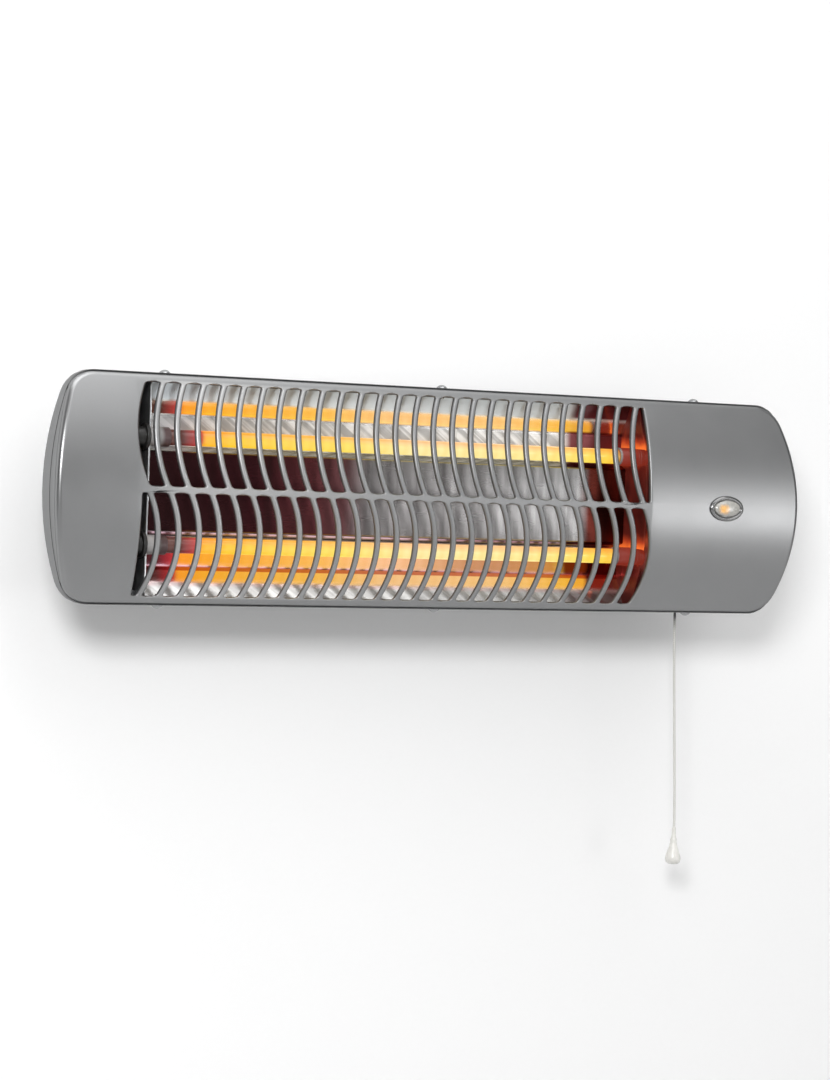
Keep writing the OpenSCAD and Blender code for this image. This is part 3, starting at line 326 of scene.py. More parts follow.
casing_paint = Finish("dark grey stove paint", (0.11, 0.112, 0.115), 0.42, 0.25)
casing_paint.cloud(26 * MM, (0.095, 0.097, 0.10), (0.13, 0.132, 0.136))
casing_paint.mottle(9 * MM, 0.36, 0.14)
casing_paint.grain(0.5 * MM, 0.03 * MM, 0.7, detail=3)
rounded_copy("rear_casing", "painted", 0.5 * MM, 2, casing_paint)


# Cable grommet: a ring of black rubber, pressed into the hole in the casing where the mains cable
# comes in. It is dull and slightly rough.

rubber = Finish("black rubber", (0.02, 0.02, 0.021), 0.6)
rubber.mottle(2 * MM, 0.5, 0.2)
rubber.grain(0.4 * MM, 0.03 * MM, 0.6)
rounded_copy("cable_grommet", "rubber", 0.5 * MM, 3, rubber)


# Reflector: a bright sheet, folded from its middle panel into a trough behind each tube and out into
# a wing above and below. It is polished along its length. Its colour carries painted light: painted
# red, pink and yellow glow from the tubes, painted shade, a painted highlight on the upper rim and
# painted reflections of the ribs; the middle panel is also darker in random vertical streaks.

REFLECTOR_LEFT, REFLECTOR_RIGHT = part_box("reflector")[0].x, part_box("reflector")[1].x
PANEL_Z = -1.1 * MM
# Each fold as its Y and its distance from the panel's middle, in mm, from the panel outwards
UPPER_FOLDS = [(-62, 25.6), (-55, 28.4), (-55, 49), (-65.21, 68.2)]
LOWER_FOLDS = [(-62, 25.6), (-50.6, 28.4), (-55, 49), (-64.23, 66.35)]
SHEET, FOLD_ROUND = 0.7 * MM, 1.1 * MM

polished = Finish("polished reflector", (0.86, 0.86, 0.85), 0.09, 1.0)
point = polished.place()
along, height = point.part(0), point.part(2) - PANEL_Z
upper = height.band(-1 * MM, 1 * MM)
lower = 1.0 - upper
far_end = along.band(100 * MM, 112 * MM)
panel = height.within(24.5 * MM, 26.2 * MM)
rim = 1.0 - height.within(56 * MM, 59 * MM)


def strip(a, b, c, d):
    """A strip along each half that comes in from a to b and goes out from c to d, in mm."""
    return height.within(c * MM, d * MM) * (1.0 - height.within(a * MM, b * MM))


trough, wing = strip(27, 29, 47, 50), strip(48, 50, 59, 61)
lip, fold = strip(26.2, 27.5, 30, 31.5), strip(47.2, 48, 50, 50.8)
# Painted pink glow of the lower tube in the lower trough, duller towards the right
painted_pink_glow = polished.blend(along.band(-30 * MM, 50 * MM), (0.98, 0.66, 0.78), (0.60, 0.34, 0.42))
# Slanted streaks in the upper trough, painted reflections of the ribs
rib_reflection_streak = polished.node("ShaderNodeTexNoise", {"noise_dimensions": "1D"},
                      {"W": along + height * 1.3, "Scale": 95.0, "Detail": 3.0}).band(0.42, 0.60)
rib_reflection_tone = polished.blend(rib_reflection_streak, (0.36, 0.36, 0.36), (0.78, 0.78, 0.78))
# Painted light on the sheet: red glow and shade at the right end, pink glow in the lower trough and on the
# lower wing, shade on the lower lip and rim, yellow glow on the upper wing, a dark red shadow line on the
# lower fold, a pale highlight on the upper rim, and the ribs' reflections in the upper trough
sheet_color = (0.86, 0.86, 0.85)
for share, tint in (
        (far_end * (1.0 - strip(49, 51, 58, 60)), (0.16, 0.03, 0.035)),
        (trough * lower * (1.0 - far_end), painted_pink_glow),
        (lip * lower, (0.40, 0.33, 0.33)),
        (wing * lower * 0.8, (0.92, 0.60, 0.60)),
        (wing * upper * (1.0 - far_end), (1.0, 0.98, 0.80)),
        (fold * lower * 0.85, (0.50, 0.10, 0.10)),
        (rim * upper * (1.0 - far_end), (0.86, 0.95, 1.0)),
        (trough * upper * (1.0 - far_end) * 0.85, rib_reflection_tone),
        (rim * lower * (1.0 - rib_reflection_streak * 0.5) * 0.75, (0.36, 0.35, 0.35))):
    sheet_color = polished.blend(share, sheet_color, tint)
# Painted shade along the middle panel: dark red with the tubes' painted glow towards both ends, a darker
# grey between
panel_shade_and_red_glow = polished.ramp((along - REFLECTOR_LEFT) / (REFLECTOR_RIGHT - REFLECTOR_LEFT),
                           [(0.0, (0.050, 0.016, 0.018)), (0.22, (0.060, 0.014, 0.018)),
                            (0.34, (0.15, 0.04, 0.045)), (0.40, (0.19, 0.08, 0.085)),
                            (0.45, (0.36, 0.345, 0.345)), (0.895, (0.42, 0.42, 0.42)),
                            (0.92, (0.10, 0.018, 0.012)), (1.0, (0.10, 0.018, 0.012))])
# The middle panel is darkened in random vertical streaks
panel_dark_streaks = ((polished.noise(7 * MM, 3, (1.0, 1.0, 0.06)) - 0.5) * 1.2 + 0.35) * panel
polished.give("Base Color", polished.blend(panel_dark_streaks, polished.blend(panel, sheet_color, panel_shade_and_red_glow),
                                           (0.02, 0.012, 0.012)))
polished.give("Metallic", 1.0 - trough * upper * 0.5 - rim * (upper * 0.35 + 0.35))
streaks = polished.noise(2.2 * MM, 3, (0.02, 1.0, 1.0))
dents = polished.noise(16 * MM, 3, (0.6, 1.0, 1.4))
polished.give("Roughness", streaks * 0.05 + dents * 0.06 + panel * 0.16 + trough * upper * 0.2 + 0.05)
polished.give("Normal", polished.bump(dents, 0.3 * MM, 0.4))


def folded_half(up_or_down, folds):
    """One half of the sheet, drawn out fold by fold from the panel's middle, up (1) or down (-1)."""
    bpy.ops.mesh.primitive_plane_add(size=1)
    sheet = only(bpy.context.object)
    panel_edge = PANEL_Z + up_or_down * folds[0][1] * MM
    corners = [(x, z) for z in (PANEL_Z, panel_edge) for x in (REFLECTOR_LEFT, REFLECTOR_RIGHT)]
    for v, (x, z) in zip(sheet.data.vertices, corners):
        v.co = (x, folds[0][0] * MM, z)
    mesh = edit(sheet, "EDGE")
    pick(sheet, mesh.edges, lambda e: all(abs(v.co.z - panel_edge) < MM / 1000 for v in e.verts))
    for (y0, z0), (y1, z1) in zip(folds, folds[1:]):
        bpy.ops.mesh.extrude_region_move(
            TRANSFORM_OT_translate={"value": (0, (y1 - y0) * MM, up_or_down * (z1 - z0) * MM)})
    mesh = edit(sheet, "EDGE")
    pick(sheet, mesh.edges, lambda e: len(e.link_faces) == 2)
    bpy.ops.mesh.bevel(offset=FOLD_ROUND, segments=4, affect="EDGES")
    bpy.ops.mesh.select_all(action="SELECT")
    bpy.ops.mesh.normals_make_consistent(inside=False)
    mesh = bmesh.from_edit_mesh(sheet.data)
    if sum(f.normal.y * f.calc_area() for f in mesh.faces) > 0:
        bpy.ops.mesh.flip_normals()
    bpy.ops.object.mode_set(mode="OBJECT")
    return sheet


def apply(piece, kind, **settings):
    """Adds a modifier to a piece and applies it."""
    made = only(piece).modifiers.new(kind, kind)
    for key, value in settings.items():
        setattr(made, key, value)
    bpy.ops.object.modifier_apply(modifier=made.name)


upper_half, lower_half = folded_half(1, UPPER_FOLDS), folded_half(-1, LOWER_FOLDS)
only(lower_half)
upper_half.select_set(True)
bpy.ops.object.join()
reflector = only(bpy.context.object)
edit(reflector, "VERT")
weld()
bpy.ops.object.mode_set(mode="OBJECT")
apply(reflector, "SOLIDIFY", thickness=SHEET, offset=-1)
finish_piece("reflector_sheet", reflector, "heater", polished, "reflector")


# End plates: zinc plated sheets across the reflector's ends, which carry it and the tubes' caps and
# are screwed to the casing by their feet, and a shield like them beside the switch. The right plate's
# front edge follows the cover's bow, and its orange from the tubes is painted light: a dark red colour
# and a painted glow.

plate_zinc = Finish("zinc plated end plate", (0.66, 0.67, 0.68), 0.34, 0.95)
plate_zinc.mottle(3 * MM, 0.24, 0.2)
plate_zinc.cloud(14 * MM, (0.58, 0.59, 0.60), (0.72, 0.73, 0.74))
for node in ("reflector_end_left", "heat_shield"):
    rounded_copy(node, "zinc", 0.2 * MM, 2, plate_zinc)
dress(bright, "reflector_screws")

TUBE_Y, TUBE_R = -72 * MM, 5 * MM
TUBE_HEIGHTS = {"upper": 32.9 * MM, "lower": -35.1 * MM}
LIT_ABOVE, LIT_SPREAD = 4 * MM, 7 * MM

# Painted light: the right plate is coloured dark red and painted with a glow, brightest just above each
# tube's height
lit_zinc = Finish("zinc plate lit by the tubes", (0.15, 0.05, 0.04), 0.4, 0.9)
shine = 0.0
for tube_z in TUBE_HEIGHTS.values():
    off = (lit_zinc.place().part(2) - (tube_z + LIT_ABOVE)) / LIT_SPREAD
    shine = shine + 1.0 / (off * off + 1.0)
patches = lit_zinc.noise(9 * MM, 3)
lit_zinc.glow(lit_zinc.ramp(shine * 0.9 + (patches - 0.5) * 0.5,
                            [(0.0, (0.02, 0.002, 0.002)), (0.25, (0.07, 0.006, 0.004)),
                             (0.55, (0.42, 0.045, 0.012)), (0.9, (1.0, 0.19, 0.03))]), 1.0)
lit_zinc.give("Roughness", patches * 0.2 + 0.3)
right_plate = rounded_copy("reflector_end_right", "zinc", 0.2 * MM, 2, lit_zinc)

# The cover's bowed face, in mm: where it lies furthest out, its radius, and the plate's distance behind it
APEX_Y, DRUM_R, PLATE_BACK = -97.0, 164.388, 5.8
BOWED_HALF_H, EDGE_CUTS = 60 * MM, 30


def drum_y(z):
    """How far out the cover's bowed face lies at a height, in mm."""
    return APEX_Y + DRUM_R - math.sqrt(DRUM_R ** 2 - z * z)


mesh = edit(right_plate, "EDGE")
front_y = min(v.co.y for v in mesh.verts)


def at_front(v):
    """Whether a point is on the plate's front edge."""
    return v.co.y < front_y + 1 * MM


pick(right_plate, mesh.edges, lambda e: all(at_front(v) for v in e.verts) and e.calc_length() > 50 * MM)
bpy.ops.mesh.subdivide(number_cuts=EDGE_CUTS)
mesh = edit(right_plate, "VERT")
for v in mesh.verts:
    if at_front(v) and abs(v.co.z) < BOWED_HALF_H:
        v.co.y += (drum_y(v.co.z / MM) + PLATE_BACK) * MM - front_y
bmesh.update_edit_mesh(right_plate.data)
bpy.ops.object.mode_set(mode="OBJECT")


# Quartz tubes: two thin tubes of frosted quartz, each round a long coil of resistance wire and held
# by a cap at each end. The coil's glow shows in the tube, and the ends stay dull, where the coil stops.

GLOW_LEFT, GLOW_LENGTH, TUBE_WALL = -205 * MM, 360 * MM, 0.9 * MM

for side, tube_z in TUBE_HEIGHTS.items():
    quartz = Finish("glowing quartz " + side, (0.10, 0.05, 0.04), 0.2)
    point = quartz.place()
    heat = quartz.ramp((point.part(0) - GLOW_LEFT) / GLOW_LENGTH,
                       [(0.0, (0.02, 0.012, 0.012)), (0.062, (0.05, 0.012, 0.014)),
                        (0.085, (0.36, 0.025, 0.035)), (0.097, (0.55, 0.05, 0.04)),
                        (0.103, (1.0, 0.50, 0.02)), (0.16, (1.0, 0.64, 0.03)),
                        (0.38, (1.0, 0.78, 0.12)), (0.52, (1.0, 0.86, 0.38)),
                        (0.76, (1.0, 0.86, 0.32)), (0.90, (1.0, 0.76, 0.08)),
                        (0.945, (1.0, 0.62, 0.05)), (0.955, (0.20, 0.06, 0.04))])
    top_edge = ((point.part(2) - tube_z) / TUBE_R).band(-0.1, 0.8)
    edge_tint = quartz.blend(top_edge, (1.0, 1.0, 1.0), (1.0, 0.70, 0.75))
    turns = quartz.node("ShaderNodeTexWave", {"wave_type": "BANDS", "bands_direction": "X"},
                        {"Vector": point, "Scale": 42.0, "Distortion": 1.2, "Detail": 1.0})
    turn_tint = quartz.blend(turns * 0.25, (1.0, 1.0, 1.0), (0.9, 0.72, 0.4))
    heat = quartz.blend(1.0, heat, edge_tint, "MULTIPLY")
    quartz.glow(quartz.blend(1.0, heat, turn_tint, "MULTIPLY"), 0.95)
    low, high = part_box("quartz_tube_" + side)
    bpy.ops.mesh.primitive_cylinder_add(vertices=48, radius=TUBE_R, depth=high.x - low.x,
                                        location=((low.x + high.x) / 2, TUBE_Y, tube_z),
                                        rotation=(0, math.pi / 2, 0))
    tube = only(bpy.context.object)
    bpy.ops.object.transform_apply()
    mesh = edit(tube, "FACE")
    pick(tube, mesh.faces, lambda f: abs(f.normal.x) > 0.9)
    bpy.ops.mesh.inset(thickness=TUBE_WALL)
    bpy.ops.mesh.delete(type="FACE")
    mesh = edit(tube, "EDGE")
    pick(tube, mesh.edges, lambda e: e.is_boundary)
    bpy.ops.mesh.bridge_edge_loops()
    bpy.ops.object.mode_set(mode="OBJECT")
    finish_piece("quartz_tube_" + side + "_lit", tube, "heater", quartz,
                 "quartz_tube_" + side)

hot = Finish("resistance wire", (0.35, 0.2, 0.12), 0.5, 0.6)
hot.glow(hot.blend(hot.noise(3 * MM), (1.0, 0.22, 0.03), (1.0, 0.34, 0.05)), 2.0)
dress(hot, "heating_coil_upper", "heating_coil_lower")


# Tube caps: white steatite, turned, with a collar that holds each cap in its end plate. The ends
# outside the plates are painted near black as painted shade, the left caps turn a dark, reddish grey
# towards their inner tips, and the right caps carry a painted red glow for the tubes' light on them.

ceramic = Finish("white steatite", (0.70, 0.69, 0.66), 0.42)
along = ceramic.place().part(0)
# Painted shade: the caps' ends outside the plates are painted near black
between_plates = (along.band(REFLECTOR_LEFT - 1 * MM, REFLECTOR_LEFT)
                  * along.band(REFLECTOR_RIGHT, REFLECTOR_RIGHT + 1 * MM, 1.0, 0.0))
# The left caps turn a dark, reddish grey towards their inner tips
left_tip = along.band(-198.5 * MM, -194.5 * MM) * along.band(-10 * MM, 10 * MM, 1.0, 0.0)
# Painted light: the right caps are coloured dark red for the tubes' light on them
right_end = along.band(138.5 * MM, 140 * MM)
steatite = ceramic.blend(ceramic.noise(5 * MM, 3), (0.30, 0.29, 0.285), (0.40, 0.385, 0.38))
for share, tint in ((left_tip, (0.10, 0.06, 0.06)), (right_end, (0.07, 0.015, 0.012)),
                    (1.0 - between_plates, (0.02, 0.019, 0.018))):
    steatite = ceramic.blend(share, steatite, tint)
ceramic.give("Base Color", steatite)
# The right caps' painted red glow
ceramic.glow(ceramic.blend(right_end, (0.0, 0.0, 0.0), (0.20, 0.018, 0.008)), 1.0)
ceramic.mottle(2 * MM, 0.32, 0.2, detail=2)
ceramic.grain(0.5 * MM, 0.03 * MM, 0.6, detail=3)
for side in ("upper", "lower"):
    for end in ("left", "right"):
        rounded_copy("cap_%s_%s" % (side, end), "steatite", 0.5 * MM, 3, ceramic)


# Wiring: brass studs and screws, a link strip, glass sleeved leads, the terminal block and a
# thermal cut-out, all behind the cover at the two ends.

brass = Finish("terminal brass", (0.78, 0.60, 0.28), 0.3, 1.0)
brass.mottle(1.5 * MM, 0.22, 0.2)
brass.cloud(6 * MM, (0.66, 0.48, 0.2), (0.84, 0.66, 0.34))
dress(brass, "terminal_studs", "link_strip", "terminal_screws", "earth_screw")

sleeve = Finish("glass sleeve", (0.80, 0.78, 0.72), 0.7)
braid = sleeve.weave(900.0, 0.5)
sleeve.give("Base Color", sleeve.blend(braid, (0.62, 0.60, 0.54), (0.86, 0.84, 0.78)))
sleeve.give("Normal", sleeve.bump(braid, 0.1 * MM, 0.7))
dress(sleeve, "lead_upper", "lead_lower")

moulding = Finish("black moulding", (0.03, 0.03, 0.032), 0.35)
moulding.mottle(2 * MM, 0.28, 0.2)
moulding.grain(0.4 * MM, 0.02 * MM, 0.6)
dress(moulding, "terminal_block", "thermal_cutout")


# Pull switch: a white moulded nylon box with a plunger, a lever and a ratchet wheel in it, and a
# wound steel spring that pushes the plunger up again. Bright screws hold its lid.

nylon = Finish("white moulded nylon", (0.78, 0.77, 0.73), 0.45)
nylon.mottle(4 * MM, 0.38, 0.15)
nylon.grain(0.6 * MM, 0.03 * MM, 0.5)
dress(nylon, "switch_housing", "switch_cover", "switch_plunger", "switch_lever", "ratchet_wheel",
      "lamp_holder")
rounded_copy("cord_bush", "nylon", 0.5 * MM, 3, nylon)
dress(bright, "switch_screws")

# The spring: a copy of the CAD spring, set on the heater's body, with a mesh of its own
spring = Finish("spring steel", (0.5, 0.5, 0.52), 0.3, 1.0)
spring.mottle(1 * MM, 0.22, 0.2, detail=2)
coil = finish_piece("return_spring_wire", free_copy("return_spring"), "heater", spring,
                    "return_spring")
low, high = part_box("return_spring")
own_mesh(coil)


# Pull cord: a thin pale braided cord tied in a small bright ferrule, which hangs on a pin in the
# plunger's fork, with a turned pull on its lower end. It leans a little, as a limp cord does.

CORD_X, CORD_Y, CORD_TOP, CORD_R = 205.5 * MM, -47 * MM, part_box("pull_cord")[1].z, 0.9 * MM
# The cord's route as its lean to the right and its fall, in mm
CORD_FALL = [(0, 0), (0, 5), (0.5, 26), (1.5, 50), (3, 80), (4.5, 110), (5.5, 130), (6, 144),
             (6.2, 152), (6.2, 156)]


def eased(points, step):
    """Points at even steps along a route, eased at its corners."""
    out = []
    for i in range(len(points) - 1):
        a, b = points[max(i - 1, 0)], points[i]
        c, d = points[i + 1], points[min(i + 2, len(points) - 1)]
        count = max(1, round((c - b).length / step))
        for k in range(count + (i == len(points) - 2)):
            t = k / count
            out.append(0.5 * (2 * b + (c - a) * t + (2 * a - 5 * b + 4 * c - d) * t * t
                              + (3 * b - a - 3 * c + d) * t * t * t))
    return out


def add(name, data):
    """Puts a new object into the scene."""
    made = bpy.data.objects.new(name, data)
    bpy.context.scene.collection.objects.link(made)
    return made


route = eased([Vector((CORD_X + x * MM, CORD_Y, CORD_TOP - z * MM)) for x, z in CORD_FALL], 5 * MM)
line = bpy.data.curves.new("pull_cord_braided", "CURVE")
line.dimensions = "3D"
line.bevel_depth, line.bevel_resolution, line.use_fill_caps = CORD_R, 3, True
strand = line.splines.new("POLY")
strand.points.add(len(route) - 1)
for point, place in zip(strand.points, route):
    point.co = (*place, 1.0)
strand.use_smooth = True
cord = add("pull_cord_braided", line)

cotton = Finish("pale braided cord", (0.74, 0.73, 0.70), 0.75)
strands = cotton.weave(700.0, 0.3, (1.0, 1.0, 0.6))
# Painted shade: the top of the cord, just under the heater, is painted dark
painted_shade_top = cotton.place().part(2).band(CORD_TOP - 12 * MM, CORD_TOP - 6 * MM)
pale = cotton.blend(strands, (0.62, 0.61, 0.58), (0.80, 0.79, 0.76))
cotton.give("Base Color", cotton.blend(painted_shade_top, pale, (0.12, 0.12, 0.12)))
cotton.give("Normal", cotton.bump(strands, 0.15 * MM, 0.6))
dress(cotton, cord)
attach(cord, "cord")
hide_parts("pull_cord")

# The turned pull's outline, from the top down, as shares of its largest radius and of its height
KNOB_H, KNOB_R = 26 * MM, 5.5 * MM
TURNED = [(0.0, 0.0), (0.2, 0.0), (0.24, 0.02), (0.26, 0.06), (0.255, 0.12), (0.27, 0.2), (0.32, 0.28),
          (0.4, 0.32), (0.42, 0.35), (0.4, 0.38), (0.43, 0.42), (0.58, 0.54), (0.78, 0.66), (0.93, 0.76),
          (1.0, 0.83), (0.985, 0.89), (0.88, 0.945), (0.66, 0.98), (0.36, 0.995), (0.0, 1.0)]
low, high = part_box("pull_knob")
knob_x, knob_top = (low.x + high.x) / 2, high.z
turned = bpy.data.meshes.new("pull")
turned.from_pydata([(knob_x + r * KNOB_R, CORD_Y, knob_top - h * KNOB_H) for r, h in TURNED],
                   [(i, i + 1) for i in range(len(TURNED) - 1)], [])
knob = add("pull", turned)
edit(knob, "VERT")
bpy.ops.mesh.select_all(action="SELECT")
bpy.ops.mesh.spin(steps=40, angle=2 * math.pi, center=(knob_x, CORD_Y, 0), axis=(0, 0, 1))
weld()
bpy.ops.mesh.normals_make_consistent(inside=False)
bpy.ops.object.mode_set(mode="OBJECT")
pull_plastic = Finish("pale turned pull", (0.76, 0.75, 0.71), 0.28)
pull_plastic.mottle(3 * MM, 0.2, 0.15)
pull_plastic.grain(1.5 * MM, 0.02 * MM, 0.6, stretch=(1, 1, 6))
finish_piece("pull_knob_turned", knob, "cord", pull_plastic, "pull_knob", smooth=60)

length = sum((b - a).length for a, b in zip(route, route[1:]))
rounded_copy("cord_ferrule", "bright", 0.15 * MM, 2, bright)


# Front cover: one pressed steel sheet, bowed from top to bottom, with two rows of curved slots, and a
# skirt round it with two fine pressed lines. It is painted silver, with rounded edges at every slot, and
# screwed to the casing through the skirt. Its lengths are in mm until the mesh is done.

# Outline: a long arc at each end and a small one at each corner
HALF_W, HALF_H = 272.49, 72.8
BOW_R, CORNER_R = 190.0, 20.0
BOW_X, CORNER_Z = HALF_W - BOW_R, HALF_H - CORNER_R
CORNER_X = BOW_X + math.sqrt((BOW_R - CORNER_R) ** 2 - CORNER_Z ** 2)
CORNER_TURN = math.atan2(CORNER_Z, CORNER_X - BOW_X)
FACE_INSET, SHEET_WALL, RIM_Y = 3.4, 2.4, -70.5
# A point that lies no further than this from a line counts as on it
CLOSE = 0.001
# Grille: the ribs' pitch, width and bow, and the slots' heights and corners. The lower row is the upper one
# turned half a turn
SLOT_COUNT, GRILLE_X, RIBS_W = 27, -32.55, 359.3
PITCH = RIBS_W / (SLOT_COUNT - 1)
SLOT_LOW, SLOT_TOP, SLOT_ROUND, SLOT_EDGE = 2.0, 66.9, 1.6, 1.4
RIB_W, RIB_BOW, RIB_MIDDLE_Z = 3.8, 8.35, 34.3
RIB_R = (RIB_MIDDLE_Z ** 2 + RIB_BOW ** 2) / (2 * RIB_BOW)
ROW_END_X = GRILLE_X + RIBS_W / 2 + 4
PLAIN_LEFT, PLAIN_RIGHT = -228.5, 163.5


def outline_x(z, inset=0.0):
    """Half the heater's width at a height, or that of a line inside its outline."""
    z, bow, corner = abs(z), BOW_R - inset, CORNER_R - inset
    if z <= bow * math.sin(CORNER_TURN):
        return BOW_X + math.sqrt(bow ** 2 - z * z)
    return CORNER_X + math.sqrt(max(0.0, corner ** 2 - (z - CORNER_Z) ** 2))


def inward(x, z):
    """Direction from a point on the outline to the inside, seen from the front."""
    off_x, off_z = abs(x) - CORNER_X, abs(z) - CORNER_Z
    if off_x <= CLOSE and off_z > 0:
        away = Vector((0, 1))
    elif off_z >= off_x * math.tan(CORNER_TURN):
        away = Vector((off_x, off_z))
    else:
        away = Vector((abs(x) - BOW_X, abs(z)))
    away.normalize()
    return Vector((-math.copysign(away.x, x), -math.copysign(away.y, z)))


def rib_edge(i, z, side):
    """Where a rib's left (-1) or right (+1) edge lies at a height in the upper row."""
    centre = GRILLE_X + (i - (SLOT_COUNT - 1) / 2) * PITCH + RIB_R - RIB_BOW
    return centre - math.sqrt((RIB_R - side * RIB_W / 2) ** 2 - (z - RIB_MIDDLE_Z) ** 2)


def slot_x(i, z, side):
    """Left (-1) or right (+1) side of one opening of the upper row, with its round corners."""
    gap = min(z - SLOT_LOW, SLOT_TOP - z)
    corner = 0 if gap >= SLOT_ROUND else SLOT_ROUND - math.sqrt(SLOT_ROUND ** 2 - (SLOT_ROUND - gap) ** 2)
    if side < 0:
        return rib_edge(i, z, 1) + corner
    return (rib_edge(i + 1, z, -1) if i < SLOT_COUNT - 1 else ROW_END_X) - corner


def slots_at(z):
    """Both sides of every opening at a height, from left to right."""
    if not SLOT_LOW <= abs(z) <= SLOT_TOP:
        return []
    pairs = [(slot_x(i, abs(z), -1), slot_x(i, abs(z), 1)) for i in range(SLOT_COUNT)]
    if z < 0:
        pairs = [(2 * GRILLE_X - b, 2 * GRILLE_X - a) for a, b in reversed(pairs)]
    return pairs


# Heights at which the sheet is divided, so that every curve has its points on a division: the slots' round
# corners, even steps along the ribs, and closer ones where the outline's corners run out
SLOT_STEPS, CORNER_LEVELS = 26, [68.6, 69.0, 69.25, 69.36]
quarter = [0] + [SLOT_ROUND * (1 - math.cos(math.radians(a))) for a in (30, 60, 90)]
levels = [SLOT_LOW + q for q in quarter] + [SLOT_TOP - q for q in quarter]
levels += [SLOT_LOW + SLOT_ROUND + (SLOT_TOP - SLOT_LOW - 2 * SLOT_ROUND) * k / SLOT_STEPS
           for k in range(1, SLOT_STEPS)]
levels += CORNER_LEVELS + [HALF_H - FACE_INSET]
levels = sorted([0.0] + levels + [-z for z in levels])
points, faces, divisions = [], [], {}


def division(z):
    """Every point of the sheet at a height, from left to right, with its number."""
    if z not in divisions:
        xs = {round(side * outline_x(z, FACE_INSET), 4) for side in (-1, 1)}
        xs |= {PLAIN_LEFT, PLAIN_RIGHT} | {round(x, 4) for pair in slots_at(z) for x in pair}
        divisions[z] = [(x, len(points) + k) for k, x in enumerate(sorted(xs))]
        points.extend((x, drum_y(z), z) for x in sorted(xs))
    return divisions[z]


def stretches(z, slotted):
    """The stretches of sheet at a height, each as its left and its right end."""
    half = outline_x(z, FACE_INSET)
    sides = [x for pair in slots_at(z) for x in pair] if slotted else []
    ends = [round(x, 4) for x in [-half, PLAIN_LEFT, PLAIN_LEFT] + sides + [PLAIN_RIGHT, PLAIN_RIGHT, half]]
    return zip(ends[::2], ends[1::2])


for low, high in zip(levels, levels[1:]):
    slotted = bool(slots_at((low + high) / 2))
    for bottom, top in zip(stretches(low, slotted), stretches(high, slotted)):
        below = [n for x, n in division(low) if bottom[0] <= x <= bottom[1]]
        above = [n for x, n in division(high) if top[0] <= x <= top[1]]
        faces.append(below + above[::-1])

sheet = bpy.data.meshes.new("cover")
sheet.from_pydata(points, [], faces)
cover = add("cover", sheet)

# The sheet gets its thickness, and loses the walls round its border, where the skirt starts
edit(cover, "FACE")
bpy.ops.mesh.select_all(action="SELECT")
bpy.ops.mesh.extrude_region_move(TRANSFORM_OT_translate={"value": (0, SHEET_WALL, 0)})
mesh = edit(cover, "FACE")


def behind(v):
    """How far a point lies behind the cover's bowed face."""
    return v.co.y - drum_y(v.co.z)


def on_border(v):
    """Whether a point is on the bowed face's border."""
    if abs(v.co.z) > HALF_H - FACE_INSET - CLOSE:
        return True
    return abs(abs(v.co.x) - outline_x(v.co.z, FACE_INSET)) < CLOSE


def border_wall(face):
    """Whether a face is a wall of the sheet's thickness along that border."""
    depths = [behind(v) for v in face.verts]
    return all(on_border(v) for v in face.verts) and max(depths) - min(depths) > 1


pick(cover, mesh.faces, border_wall)
bpy.ops.mesh.delete(type="FACE")
mesh = edit(cover, "EDGE")
pick(cover, mesh.edges, lambda e: e.is_boundary and all(behind(v) < 1 for v in e.verts))

# The border is drawn round the bend and back into the skirt, with a pressed line where the bend ends and a
# second one half way back, then round the rim and forward inside. Each step has its inset from the outline,
# the line that its depth is counted from, and that depth
BEND_R, SKIRT_WALL, SEAM_BACK, SEAM_BOW, SEAM_TO_RIM = 3.2, 2.0, 13.0, 4.6, 2.0
bend = [math.radians(a) for a in (0, 15, 30, 45, 60, 75, 90)]
steps = [(BEND_R * (1 - math.sin(a)), "face", BEND_R * (1 - math.cos(a))) for a in bend]
steps += [(0.7, "face", BEND_R + 0.5), (0.0, "face", BEND_R + 1.1),
          (0.0, "seam", -0.5), (0.55, "seam", 0.0), (0.0, "seam", 0.5),
          (0.0, "rim", -0.6), (0.18, "rim", -0.18), (0.6, "rim", 0.0), (SKIRT_WALL, "rim", 0.0),
          (SKIRT_WALL, "face", BEND_R + SHEET_WALL), (FACE_INSET, "face", SHEET_WALL)]
last = FACE_INSET
for inset, start, depth in steps:
    bpy.ops.mesh.extrude_edges_move(TRANSFORM_OT_translate={"value": (0, 1, 0)})
    mesh = bmesh.from_edit_mesh(cover.data)
    for v in mesh.verts:
        if v.select:
            step = inward(v.co.x, v.co.z) * (inset - last)
            v.co.x += step.x
            v.co.z += step.y
            seam = min(APEX_Y + SEAM_BACK + SEAM_BOW * (v.co.z / HALF_H) ** 2, RIM_Y - SEAM_TO_RIM)
            v.co.y = {"face": drum_y(v.co.z), "seam": seam, "rim": RIM_Y}[start] + depth
    bmesh.update_edit_mesh(cover.data)
    last = inset
weld(gap=0.005)
bpy.ops.mesh.normals_make_consistent(inside=False)

# Every opening's front edge is rounded
mesh = edit(cover, "EDGE")
pick(cover, mesh.edges, lambda e: all(abs(behind(v)) < 0.02 for v in e.verts)
     and not any(on_border(v) for v in e.verts) and e.calc_face_angle(0) > math.radians(40))
bpy.ops.mesh.bevel(offset=SLOT_EDGE, segments=4, affect="EDGES", clamp_overlap=False)
bpy.ops.object.mode_set(mode="OBJECT")
for v in cover.data.vertices:
    v.co *= MM

